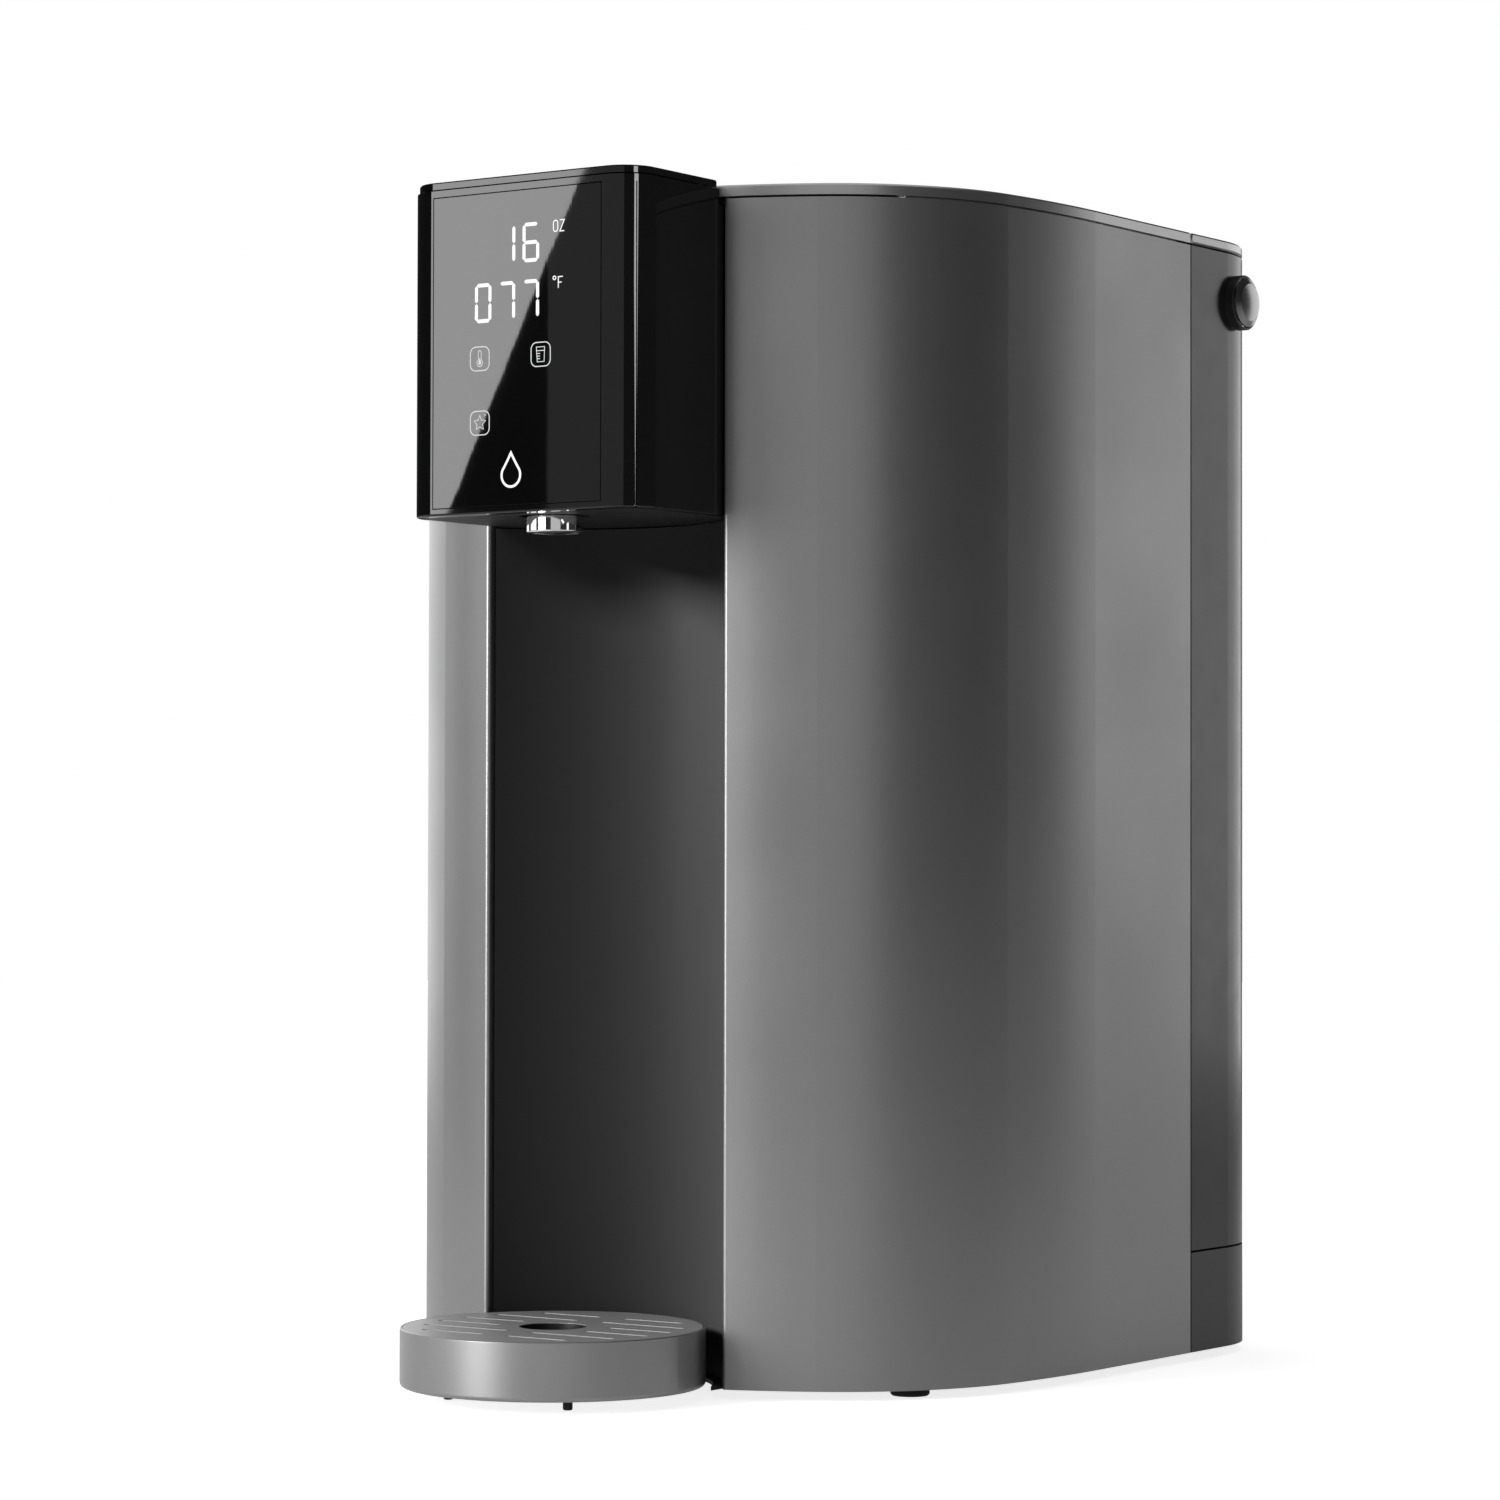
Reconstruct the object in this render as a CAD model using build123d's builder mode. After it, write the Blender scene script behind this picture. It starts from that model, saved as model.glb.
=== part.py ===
from build123d import *
from math import asin, atan2, cos, degrees, radians, sin, sqrt
import os

# Countertop water dispenser with an instant heater, two filter cartridges, a rear water tank that
# pulls off its shelf, a lift-off top cover and a drip tray that slides out.
#
# Millimetres, +Z up, front towards -Y. The origin is on the counter, under the middle of the object.

# ---------------------------------------------------------------- driving dimensions
HEIGHT = 430.0          # counter to the top of the head
BODY_TOP = 428.2        # counter to the top of the cover and of the tank lid
FOOT_H = 3.5            # rubber feet under the body

AXIS_Y = -125.0         # dispensing axis, shared by nozzle, recess and drip tray
HALF_W = 130.0          # middle plane to the straight side
NOSE_Y = AXIS_Y + 20.5  # front of the body outline on the middle plane, before the recess is cut
SIDE_START_Y = AXIS_Y + 156.0   # where the straight side begins
SEAM_Y = AXIS_Y + 228.0         # joint between the body and the tank, in the sides and in the top
REAR_Y = AXIS_Y + 304.0         # back of the tank
NOSE_R = 168.0          # three tangent arcs make each front quarter of the outline
CORNER_R = 86.0
SIDE_R = 308.0
REAR_R = 47.0           # rear corners
WALL = 2.5              # outer shells
GAP = 0.4               # parting gap between a shell and its neighbour, each side of the joint line
LID_T = 4.0             # top cover and tank lid
LID_GAP = 0.8           # shadow gap under them
SHELF_Z = 41.5          # joint between the rear base and the tank

RECESS_R = 60.0
HEAD_HALF_W = 51.0      # head, and the mouth of the recess
HEAD_FRONT = 23.3       # head front, ahead of the dispensing axis
HEAD_Z = 311.2          # underside of the head
HEAD_R = 13.0           # its vertical front corners
HEAD_PLATE_T = 2.6      # plate on top of the head
TRAY_R = 54.0
TRAY_Z = 4.5
TRAY_H = 20.5
GRID_T = 3.5
NOZZLE_R = 10.2
NOZZLE_Z = 305.2        # mouth of the nozzle
KNOB_R = 10.6           # release buttons on the tank sides
KNOB_Y = AXIS_Y + 265.5
KNOB_Z = 405.0
KNOB_TRAVEL = 3.0

# ---------------------------------------------------------------- worked out from them
LID_Z = BODY_TOP - LID_T
SHELL_TOP = LID_Z - LID_GAP
FLOOR_T = 3.0
FLOOR_TOP = FOOT_H + FLOOR_T
HEAD_Y = AXIS_Y - HEAD_FRONT
HEAD_BACK = AXIS_Y + 44.0
HEAD_TOP = HEIGHT - HEAD_PLATE_T - 0.6
TANK_Y = SEAM_Y + GAP
TANK_Z = SHELF_Z + GAP
LOW = (Align.CENTER, Align.CENTER, Align.MIN)
TURN = {"X": (0, 90, 0), "Y": (-90, 0, 0), "Z": (0, 0, 0)}


# ---------------------------------------------------------------- shared shapes
def corner_centre():
    """Centre of the front corner arc, which touches the nose arc and the side arc from inside."""
    nose = Vector(0, NOSE_Y + NOSE_R)
    side = Vector(HALF_W - SIDE_R, SIDE_START_Y)
    nose_reach = NOSE_R - CORNER_R
    side_reach = SIDE_R - CORNER_R
    apart = (side - nose).length
    unit = (side - nose).normalized()
    along = (nose_reach**2 - side_reach**2 + apart**2) / (2 * apart)
    across = sqrt(nose_reach**2 - along**2)
    return nose + unit * along + Vector(-unit.Y, unit.X) * across


def body_plan(inset=0.0):
    """Outline of the whole object from above, moved inwards by inset."""
    nose = Vector(0, NOSE_Y + NOSE_R)
    side = Vector(HALF_W - SIDE_R, SIDE_START_Y)
    corner = corner_centre()
    first_turn = degrees(atan2(corner.Y - nose.Y, corner.X - nose.X))
    second_turn = degrees(atan2(corner.Y - side.Y, corner.X - side.X))
    side_x = HALF_W - inset
    rear_centre = (HALF_W - REAR_R, REAR_Y - REAR_R)
    with BuildSketch() as plan:
        with BuildLine():
            CenterArc(nose, NOSE_R - inset, -90, first_turn + 90)
            CenterArc(corner, CORNER_R - inset, first_turn, second_turn - first_turn)
            CenterArc(side, SIDE_R - inset, second_turn, -second_turn)
            Line((side_x, SIDE_START_Y), (side_x, rear_centre[1]))
            CenterArc(rear_centre, REAR_R - inset, 0, 90)
            Line((rear_centre[0], REAR_Y - inset), (0, REAR_Y - inset))
            mirror(about=Plane.YZ)
        make_face()
    return plan.sketch


def zone(inset, y_low, y_high, x_low=-HALF_W - 1, x_high=HALF_W + 1):
    """The part of the outline inside a rectangle."""
    with BuildSketch() as area:
        add(body_plan(inset))
        with Locations(((x_low + x_high) / 2, (y_low + y_high) / 2)):
            Rectangle(x_high - x_low, y_high - y_low, mode=Mode.INTERSECT)
    return area.sketch


def head_plan(inset=0.0, back=HEAD_BACK):
    """Outline of the head from above: square at the back, round vertical corners at the front."""
    half = HEAD_HALF_W - inset
    front = HEAD_Y + inset
    round_r = HEAD_R - inset
    with BuildSketch() as plan:
        with BuildLine():
            Line((0, front), (half - round_r, front))
            CenterArc((half - round_r, front + round_r), round_r, -90, 90)
            Line((half, front + round_r), (half, back))
            Line((half, back), (0, back))
            mirror(about=Plane.YZ)
        make_face()
    return plan.sketch


def rod(start, radius, length, axis="Z", mode=Mode.ADD):
    """Cylinder that runs from start along an axis."""
    with Locations(Location(start, TURN[axis])):
        Cylinder(radius, length, align=LOW, mode=mode)


def pipe(start, outer, inner, length, axis="Z", mode=Mode.ADD):
    """Ring or pipe that runs from start along an axis."""
    with BuildPart(mode=Mode.PRIVATE) as ring:
        rod(start, outer, length, axis)
        rod(start, inner, length, axis, Mode.SUBTRACT)
    add(ring.part, mode=mode)


def block(x, y, z, mode=Mode.ADD):
    """Box between two limits on each axis."""
    with Locations(((x[0] + x[1]) / 2, (y[0] + y[1]) / 2, (z[0] + z[1]) / 2)):
        Box(x[1] - x[0], y[1] - y[0], z[1] - z[0], mode=mode)


def raise_plan(plan, z_low, z_high, mode=Mode.ADD):
    """Extrude an outline between two heights."""
    extrude(plan.moved(Location((0, 0, z_low))), amount=z_high - z_low, mode=mode)


# ---------------------------------------------------------------- base and feet
PAN_INSET = WALL + GAP
LIP_H = 10.0
FLANGE_DEPTH = 16.0     # inward flanges beside the recess
FEET = [(-99.0, -46.0), (99.0, -46.0), (-96.0, 146.0), (96.0, 146.0)]
FOOT_R = 7.0
FRAME_X = 118.0
FRAME_T = 2.0
SCREWS = [(side * (FRAME_X - 6), y) for side in (-1, 1) for y in (10.0, 76.0)]
SCREW_R = 1.5
INLET_X = -58.0
INLET_Z = 22.0
INLET_W = 31.0          # flange of the standard appliance inlet
INLET_H = 24.0
INLET_BODY_W = 27.0
INLET_BODY_H = 19.8
INLET_FLANGE_T = 2.4

with BuildPart() as base_pan:
    raise_plan(zone(PAN_INSET, NOSE_Y - 1, TANK_Y + WALL), FOOT_H, FLOOR_TOP + LIP_H)
    raise_plan(zone(PAN_INSET + WALL, NOSE_Y - 1, TANK_Y + 20), FLOOR_TOP, FLOOR_TOP + LIP_H, Mode.SUBTRACT)
    raise_plan(zone(0, TANK_Y, REAR_Y + 1), FOOT_H, SHELF_Z - GAP)
    raise_plan(zone(WALL, TANK_Y - 5, REAR_Y), FLOOR_TOP, SHELF_Z - GAP - WALL, Mode.SUBTRACT)
    rod((0, AXIS_Y, 0), RECESS_R + WALL + GAP, 60, mode=Mode.SUBTRACT)
    block((-HEAD_HALF_W - 4, HEAD_HALF_W + 4), (NOSE_Y - 20, AXIS_Y + 42), (0, 60), Mode.SUBTRACT)
    for side in (-1, 1):
        slot = sorted((side * (HEAD_HALF_W - WALL - GAP), side * (HEAD_HALF_W + WALL + 4 * GAP)))
        block(slot, (NOSE_Y, AXIS_Y + 40 + FLANGE_DEPTH + GAP), (0, 60), Mode.SUBTRACT)
    block((INLET_X - 20, INLET_X + 20), (REAR_Y - 9, REAR_Y - WALL), (FLOOR_TOP, SHELF_Z - 1))
    block((INLET_X - INLET_W / 2 - 0.2, INLET_X + INLET_W / 2 + 0.2), (REAR_Y - INLET_FLANGE_T, REAR_Y + 1),
          (INLET_Z - INLET_H / 2 - 0.2, INLET_Z + INLET_H / 2 + 0.2), Mode.SUBTRACT)
    block((INLET_X - INLET_BODY_W / 2 - 0.2, INLET_X + INLET_BODY_W / 2 + 0.2), (REAR_Y - 20, REAR_Y),
          (INLET_Z - INLET_BODY_H / 2 - 0.2, INLET_Z + INLET_BODY_H / 2 + 0.2), Mode.SUBTRACT)
    for x, y in SCREWS:
        rod((x, y, FOOT_H - 1), 3.4, 2.6, mode=Mode.SUBTRACT)
        rod((x, y, FOOT_H), SCREW_R + 0.2, 10, mode=Mode.SUBTRACT)
    for row in range(5):
        block((-40, 40), (14 + row * 14, 18 + row * 14), (0, FLOOR_TOP + 1), Mode.SUBTRACT)

with BuildPart() as rubber_feet:
    for x, y in FEET:
        with Locations((x, y, 0)):
            Cylinder(FOOT_R, FOOT_H, align=LOW)
    chamfer(rubber_feet.edges().filter_by(GeomType.CIRCLE).group_by(Axis.Z)[0], 0.6)

with BuildPart() as base_screws:
    for x, y in SCREWS:
        rod((x, y, FOOT_H + 0.2), 3.2, 1.4)
        rod((x, y, FOOT_H + 1.6), SCREW_R, 8.2)
        with Locations((x, y, FOOT_H + 0.2)):
            Box(4.0, 0.9, 0.9, align=LOW, mode=Mode.SUBTRACT)
            Box(0.9, 4.0, 0.9, align=LOW, mode=Mode.SUBTRACT)

with BuildPart() as power_inlet_socket:
    flange_y = REAR_Y - INLET_FLANGE_T
    block((INLET_X - INLET_W / 2, INLET_X + INLET_W / 2), (flange_y, REAR_Y),
          (INLET_Z - INLET_H / 2, INLET_Z + INLET_H / 2))
    block((INLET_X - INLET_BODY_W / 2, INLET_X + INLET_BODY_W / 2), (REAR_Y - 20, flange_y),
          (INLET_Z - INLET_BODY_H / 2, INLET_Z + INLET_BODY_H / 2))
    with BuildSketch(Plane.XZ.offset(-REAR_Y)):
        with Locations((INLET_X, INLET_Z)):
            Rectangle(24, 16)
            with Locations((-12, -8), (12, -8)):
                Rectangle(7, 7, rotation=45, mode=Mode.SUBTRACT)
    extrude(amount=15, mode=Mode.SUBTRACT)
    for step in (-1, 0, 1):
        block((INLET_X + step * 7 - 1.1, INLET_X + step * 7 + 1.1), (REAR_Y - 21, REAR_Y - 14),
              (INLET_Z - 1.4 - 2.2 * (step == 0), INLET_Z + 3.4 - 2.2 * (step == 0)), Mode.SUBTRACT)

with BuildPart() as inlet_pins:
    for step in (-1, 0, 1):
        drop = 2.2 * (step == 0)
        block((INLET_X + step * 7 - 1, INLET_X + step * 7 + 1), (REAR_Y - 26, REAR_Y - 3),
              (INLET_Z - 1.2 - drop, INLET_Z + 3.2 - drop))

# ---------------------------------------------------------------- outer panels and recess
MOUTH_X = HEAD_HALF_W + 1.0
EDGE_ROUND = 1.3
SEAT_T = 1.5            # lip at the foot of the recess, behind the drip tray
SEAT_GAP = 2.5

with BuildPart() as right_side_panel:
    raise_plan(zone(0, NOSE_Y - 1, SEAM_Y - GAP, MOUTH_X, HALF_W + 1), FOOT_H, SHELL_TOP)
    raise_plan(zone(WALL, NOSE_Y - 1, SEAM_Y + 5, MOUTH_X + WALL), FOOT_H - 1, HEIGHT, Mode.SUBTRACT)
    raise_plan(zone(WALL, AXIS_Y + 40 + FLANGE_DEPTH, SEAM_Y + 5, 0), FOOT_H - 1, HEIGHT, Mode.SUBTRACT)
    mouth_edge = right_side_panel.edges().filter_by(Axis.Z).sort_by(Axis.Y)[0]
    fillet(mouth_edge, EDGE_ROUND)

with BuildPart() as left_side_panel:
    mirror(right_side_panel.part, about=Plane.YZ)

with BuildPart() as recess_liner:
    rod((0, AXIS_Y, FOOT_H), RECESS_R + WALL, HEAD_Z - 0.5 - FOOT_H)
    rod((0, AXIS_Y, FOOT_H + SEAT_T), RECESS_R, HEIGHT, mode=Mode.SUBTRACT)
    rod((0, AXIS_Y, 0), TRAY_R + SEAT_GAP, HEIGHT, mode=Mode.SUBTRACT)
    block((-HEAD_HALF_W, HEAD_HALF_W), (AXIS_Y + 20, AXIS_Y + 80), (0, HEIGHT), Mode.INTERSECT)
    for side in (-1, 1):
        inner = side * (HEAD_HALF_W - WALL)
        block(sorted((inner, side * HEAD_HALF_W)), (AXIS_Y + 38, AXIS_Y + 52), (FOOT_H, HEAD_Z - 0.5))

# ---------------------------------------------------------------- head
WINDOW_HALF = 37.0
WINDOW_Z = (HEAD_Z + 2.5, HEAD_TOP - 2.5)
WINDOW_T = 2.2
HEAD_FRONT_T = 5.0
PORT_R = 13.0           # round opening in the underside, for the nozzle collar

with BuildPart() as head_shell:
    raise_plan(head_plan(), HEAD_Z, HEAD_TOP)
    fillet(head_shell.edges().filter_by(Axis.Z, reverse=True).group_by(Axis.Z)[0].group_by(Axis.Y)[0], 0.8)
    block((-HEAD_HALF_W + WALL, HEAD_HALF_W - WALL), (HEAD_Y + HEAD_FRONT_T, HEAD_BACK + 1),
          (HEAD_Z - 1, HEAD_TOP - WALL), Mode.SUBTRACT)
    raise_plan(body_plan(-2 * GAP), LID_Z - 3, HEIGHT, Mode.SUBTRACT)
    block((-WINDOW_HALF - 0.15, WINDOW_HALF + 0.15), (HEAD_Y - 1, HEAD_Y + WINDOW_T + 0.1),
          (WINDOW_Z[0] - 0.15, WINDOW_Z[1] + 0.15), Mode.SUBTRACT)
    block((-WINDOW_HALF + 4, WINDOW_HALF - 4), (HEAD_Y - 1, HEAD_Y + HEAD_FRONT_T + 1),
          (WINDOW_Z[0] + 4, WINDOW_Z[1] - 4), Mode.SUBTRACT)

with BuildPart() as display_window:
    block((-WINDOW_HALF, WINDOW_HALF), (HEAD_Y, HEAD_Y + WINDOW_T), WINDOW_Z)
    chamfer(display_window.faces().sort_by(Axis.Y)[0].edges(), 0.25)

with BuildPart() as head_top_plate:
    raise_plan(head_plan(0.8, AXIS_Y + 40), HEIGHT - HEAD_PLATE_T, HEIGHT)
    raise_plan(body_plan(-2 * GAP), 0, HEIGHT + 1, Mode.SUBTRACT)
    chamfer(head_top_plate.faces().sort_by(Axis.Z)[-1].edges().sort_by(Axis.Y)[:-3], 0.5)
    for x in (-36.0, 36.0):
        rod((x, AXIS_Y - 2, HEAD_TOP), 3, 0.6)

with BuildPart() as head_underside_cover:
    plate = (HEAD_Z, HEAD_Z + WALL)
    raise_plan(head_plan(WALL + 0.3, AXIS_Y + 36), *plate)
    block((-40, 40), (HEAD_Y, HEAD_Y + HEAD_FRONT_T + 0.3), (0, HEIGHT), Mode.SUBTRACT)
    with BuildSketch(Plane.XY.offset(HEAD_Z)):
        with Locations((0, AXIS_Y)):
            Circle(RECESS_R + WALL - 0.5)
        with Locations((0, AXIS_Y + 60)):
            Rectangle(2 * (HEAD_HALF_W - WALL - 0.3), 100, mode=Mode.INTERSECT)
    extrude(amount=WALL)
    rod((0, AXIS_Y, HEAD_Z - 0.5), PORT_R, 5, mode=Mode.SUBTRACT)
    block((-HEAD_HALF_W, HEAD_HALF_W), (HEAD_Y, HEAD_Y + HEAD_FRONT_T + 0.3), (0, HEIGHT), Mode.SUBTRACT)

with BuildPart() as outlet_nozzle:
    rod((0, AXIS_Y, NOZZLE_Z), NOZZLE_R, HEAD_Z + WALL - NOZZLE_Z)
    rod((0, AXIS_Y, HEAD_Z + WALL), PORT_R + 3, 3)
    rod((0, AXIS_Y, HEAD_Z + WALL + 3), 4, 6)
    rod((0, AXIS_Y, NOZZLE_Z), NOZZLE_R - 1.6, 7, mode=Mode.SUBTRACT)
    rod((0, AXIS_Y, NOZZLE_Z), 2.2, 40, mode=Mode.SUBTRACT)
    mouth = outlet_nozzle.edges().filter_by(GeomType.CIRCLE).group_by(Axis.Z)[0]
    fillet(mouth.sort_by(SortBy.RADIUS)[-1], 0.7)

with BuildPart() as nozzle_aerator:
    rod((0, AXIS_Y, NOZZLE_Z + 1.2), NOZZLE_R - 1.8, 5)
    with Locations((0, AXIS_Y, NOZZLE_Z)):
        with PolarLocations(4.6, 8):
            Cylinder(0.9, 12, align=LOW, mode=Mode.SUBTRACT)
    rod((0, AXIS_Y, NOZZLE_Z), 1.6, 12, mode=Mode.SUBTRACT)
    rod((0, AXIS_Y, NOZZLE_Z + 1.2), 6.8, 0.8, mode=Mode.SUBTRACT)

BOARD_T = 1.6
DISPLAY_Y = HEAD_Y + HEAD_FRONT_T + 8.0
with BuildPart() as display_board:
    block((-31, 31), (DISPLAY_Y, DISPLAY_Y + BOARD_T), (322, 418))
    for x in (-26.0, 26.0):
        for z in (328.0, 412.0):
            rod((x, HEAD_Y + HEAD_FRONT_T + 0.1, z), 2.5, 7.9, "Y")
    block((-16, 16), (DISPLAY_Y + BOARD_T, DISPLAY_Y + BOARD_T + 4), (340, 346))
    block((-8, 8), (DISPLAY_Y + BOARD_T, DISPLAY_Y + BOARD_T + 1.5), (366, 382))

with BuildPart() as digit_display_module:
    block((-23, 22), (DISPLAY_Y - 7.4, DISPLAY_Y - 0.1), (372, 408))

with BuildPart() as touch_sensor_board:
    block((-29, 29), (HEAD_Y + WINDOW_T + 0.4, HEAD_Y + WINDOW_T + 1.6), (321, 366))

# ---------------------------------------------------------------- top cover
SKIRT_Z = LID_Z - 12

with BuildPart() as top_cover:
    raise_plan(zone(0, NOSE_Y - 1, SEAM_Y - GAP), LID_Z, BODY_TOP)
    chamfer(top_cover.faces().sort_by(Axis.Z)[-1].edges().sort_by(Axis.Y)[:-1], 0.7)
    raise_plan(zone(WALL + 0.3, -60, SEAM_Y - 7) - body_plan(2 * WALL + 0.3), SKIRT_Z, LID_Z)
    for row in (-12.0, 30.0, 72.0):
        block((-116, 116), (row - 1.25, row + 1.25), (LID_Z - 6, LID_Z))
    block((-124.6, 124.6), (SEAM_Y - 9.5, SEAM_Y - 7), (SKIRT_Z, LID_Z))

# ---------------------------------------------------------------- frame inside the body
BULKHEAD_Y = SEAM_Y - 4.4
COUPLING_Z = 59.0
COUPLING_R = 12.0
FRAME_Y = (-8.0, SEAM_Y - 5)
FRAME_TOP = 400.0


def frame_plate(side):
    """Upright sheet on one side, with a foot flange and six lightening windows."""
    with BuildPart() as upright:
        block(sorted((side * FRAME_X, side * (FRAME_X + FRAME_T))), FRAME_Y, (FLOOR_TOP, FRAME_TOP))
        block(sorted((side * (FRAME_X - 12), side * FRAME_X)), FRAME_Y, (FLOOR_TOP, FLOOR_TOP + FRAME_T))
        reach = sorted((side * (FRAME_X - 1), side * (FRAME_X + FRAME_T + 1)))
        for z in (110, 310, 355):
            for y in (6, 50):
                block(reach, (y, y + 36), (z, z + 36), Mode.SUBTRACT)
        for y in (10.0, 76.0):
            rod((side * (FRAME_X - 6), y, 0), SCREW_R + 0.2, 12, mode=Mode.SUBTRACT)
    return upright.part


with BuildPart() as right_frame_plate:
    add(frame_plate(1))

with BuildPart() as left_frame_plate:
    add(frame_plate(-1))

with BuildPart() as rear_bulkhead:
    block((-124, 124), (BULKHEAD_Y, BULKHEAD_Y + 3), (FLOOR_TOP, LID_Z - 1))
    rod((0, BULKHEAD_Y - 5, COUPLING_Z), COUPLING_R + 0.3, 20, "Y", Mode.SUBTRACT)
    block((-70, -45), (BULKHEAD_Y - 5, BULKHEAD_Y + 5), (FLOOR_TOP - 1, 34), Mode.SUBTRACT)

with BuildPart() as tank_coupling_socket:
    rod((0, BULKHEAD_Y - 16, COUPLING_Z), COUPLING_R, 19, "Y")
    rod((0, BULKHEAD_Y - 3, COUPLING_Z), COUPLING_R + 5, 3, "Y")
    rod((0, BULKHEAD_Y - 13, COUPLING_Z), 8.6, 20, "Y", Mode.SUBTRACT)
    rod((0, BULKHEAD_Y - 30, COUPLING_Z), 2.4, 30, "Y", Mode.SUBTRACT)

with BuildPart() as coupling_seal:
    with Locations(Location((0, BULKHEAD_Y - 6, COUPLING_Z), TURN["Y"])):
        Cylinder(8.5, 3, align=LOW)
        Cylinder(8.2, 3, align=LOW, mode=Mode.SUBTRACT)

# ---------------------------------------------------------------- filters
MANIFOLD_Z = 72.0
MANIFOLD_T = 22.0
FILTER_X = 60.0
FILTER_Y = 50.0
SPIGOT_R = 12.0
FILTER_Z = MANIFOLD_Z + MANIFOLD_T + 1.0

with BuildPart() as filter_manifold:
    block((-100, 100), (10, 90), (MANIFOLD_Z, MANIFOLD_Z + MANIFOLD_T))
    fillet(filter_manifold.edges().filter_by(Axis.Z), 14)
    block((-FRAME_X, FRAME_X), (24, 76), (MANIFOLD_Z + 6, MANIFOLD_Z + 16))
    for side in (-1, 1):
        rod((side * FILTER_X, FILTER_Y, MANIFOLD_Z + 5), SPIGOT_R + 0.4, 30, mode=Mode.SUBTRACT)


def cartridge(side, radius, height):
    """Filter cartridge with a keyed spigot below and a grip bar on its crown."""
    with BuildPart() as filter_body:
        rod((side * FILTER_X, FILTER_Y, FILTER_Z), radius, height)
        fillet(filter_body.edges().filter_by(GeomType.CIRCLE).group_by(Axis.Z)[0], 5)
        fillet(filter_body.edges().filter_by(GeomType.CIRCLE).group_by(Axis.Z)[-1], 8)
        rod((side * FILTER_X, FILTER_Y, FILTER_Z - 16), SPIGOT_R, 18)
        rod((side * FILTER_X, FILTER_Y, FILTER_Z + height - 1), radius - 14, 5)
        with Locations((side * FILTER_X, FILTER_Y, FILTER_Z + height + 2)):
            Box(2 * radius - 22, 9, 16, align=LOW)
        rod((side * FILTER_X, FILTER_Y, FILTER_Z - 20), 3, 30, mode=Mode.SUBTRACT)
    return filter_body.part


with BuildPart() as prefilter_cartridge:
    add(cartridge(-1, 36, 270))

with BuildPart() as membrane_cartridge:
    add(cartridge(1, 38, 276))

# ---------------------------------------------------------------- pump
PUMP_Y = 40.0
PUMP_Z = 33.0
MOTOR_R = 17.0
PUMP_HEAD_R = 21.0

with BuildPart() as pump_motor:
    rod((-72, PUMP_Y, PUMP_Z), MOTOR_R, 61.8, "X")
    rod((-76, PUMP_Y, PUMP_Z), 6, 4, "X")
    rod((-11, PUMP_Y, PUMP_Z), 2.5, 6, "X")

with BuildPart() as pump_head:
    rod((-10, PUMP_Y, PUMP_Z), PUMP_HEAD_R, 44, "X")
    rod((-10, PUMP_Y, PUMP_Z), 2.6, 6, "X", Mode.SUBTRACT)
    for x in (2.0, 16.0):
        pipe((x, PUMP_Y, PUMP_Z), PUMP_HEAD_R + 1.2, PUMP_HEAD_R - 0.2, 3, "X")
    rod((25, PUMP_Y, PUMP_Z + 18), 5, 9)
    rod((34, PUMP_Y, PUMP_Z), 5, 6, "X")

with BuildPart() as pump_bracket:
    block((-64, 26), (PUMP_Y - 20, PUMP_Y + 20), (FLOOR_TOP + 2.2, FLOOR_TOP + 3.7))
    for x in (-60.0, -24.0):
        block((x, x + 10), (PUMP_Y - 20, PUMP_Y + 20), (FLOOR_TOP + 2.2, PUMP_Z))
        rod((x - 1, PUMP_Y, PUMP_Z), MOTOR_R + 0.1, 12, "X", Mode.SUBTRACT)

with BuildPart() as pump_grommets:
    for x in (-58.0, 20.0):
        for y in (PUMP_Y - 16, PUMP_Y + 16):
            rod((x, y, FLOOR_TOP), 4, 2.2)

# ---------------------------------------------------------------- heater, flow meter and valve
HEATER_Y = -28.0
HEATER_Z = 160.0
HEATER_H = 150.0
HEATER_R = 19.0
METER_Z = 118.0
METER_R = 16.0

with BuildPart() as instant_heater:
    rod((0, HEATER_Y, HEATER_Z), HEATER_R, HEATER_H)
    for z in (HEATER_Z, HEATER_Z + HEATER_H - 14):
        rod((0, HEATER_Y, z), HEATER_R + 3, 14)
    rod((0, HEATER_Y, HEATER_Z - 7), 5, 7)
    rod((0, HEATER_Y, HEATER_Z + HEATER_H), 5, 7)
    for side in (-1, 1):
        block(sorted((side * 12, side * 18)), (HEATER_Y - 0.5, HEATER_Y + 0.5),
              (HEATER_Z + HEATER_H, HEATER_Z + HEATER_H + 9))

with BuildPart() as heater_bracket:
    block((-27, 27), (HEATER_Y + HEATER_R + 3, HEATER_Y + HEATER_R + 5), (FLOOR_TOP, HEATER_Z + HEATER_H))
    block((-27, 27), (HEATER_Y + 5, HEATER_Y + HEATER_R + 3), (FLOOR_TOP, FLOOR_TOP + 2))
    for z in (HEATER_Z, HEATER_Z + HEATER_H - 14):
        block((-27, 27), (HEATER_Y, HEATER_Y + HEATER_R + 3), (z + 2, z + 12))
        rod((0, HEATER_Y, z), HEATER_R + 3, 14, mode=Mode.SUBTRACT)
    block((-8, 8), (HEATER_Y, HEATER_Y + 40), (MANIFOLD_Z + 3, MANIFOLD_Z + 19), Mode.SUBTRACT)

with BuildPart() as thermal_cutoff:
    block((HEATER_R - 0.5, HEATER_R + 6), (HEATER_Y - 9, HEATER_Y + 9), (230, 248))
    rod((0, HEATER_Y, 220), HEATER_R, 40, mode=Mode.SUBTRACT)
    for y in (HEATER_Y - 5, HEATER_Y + 5):
        block((HEATER_R + 6, HEATER_R + 12), (y - 1.5, y + 1.5), (238, 238.8))

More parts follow.
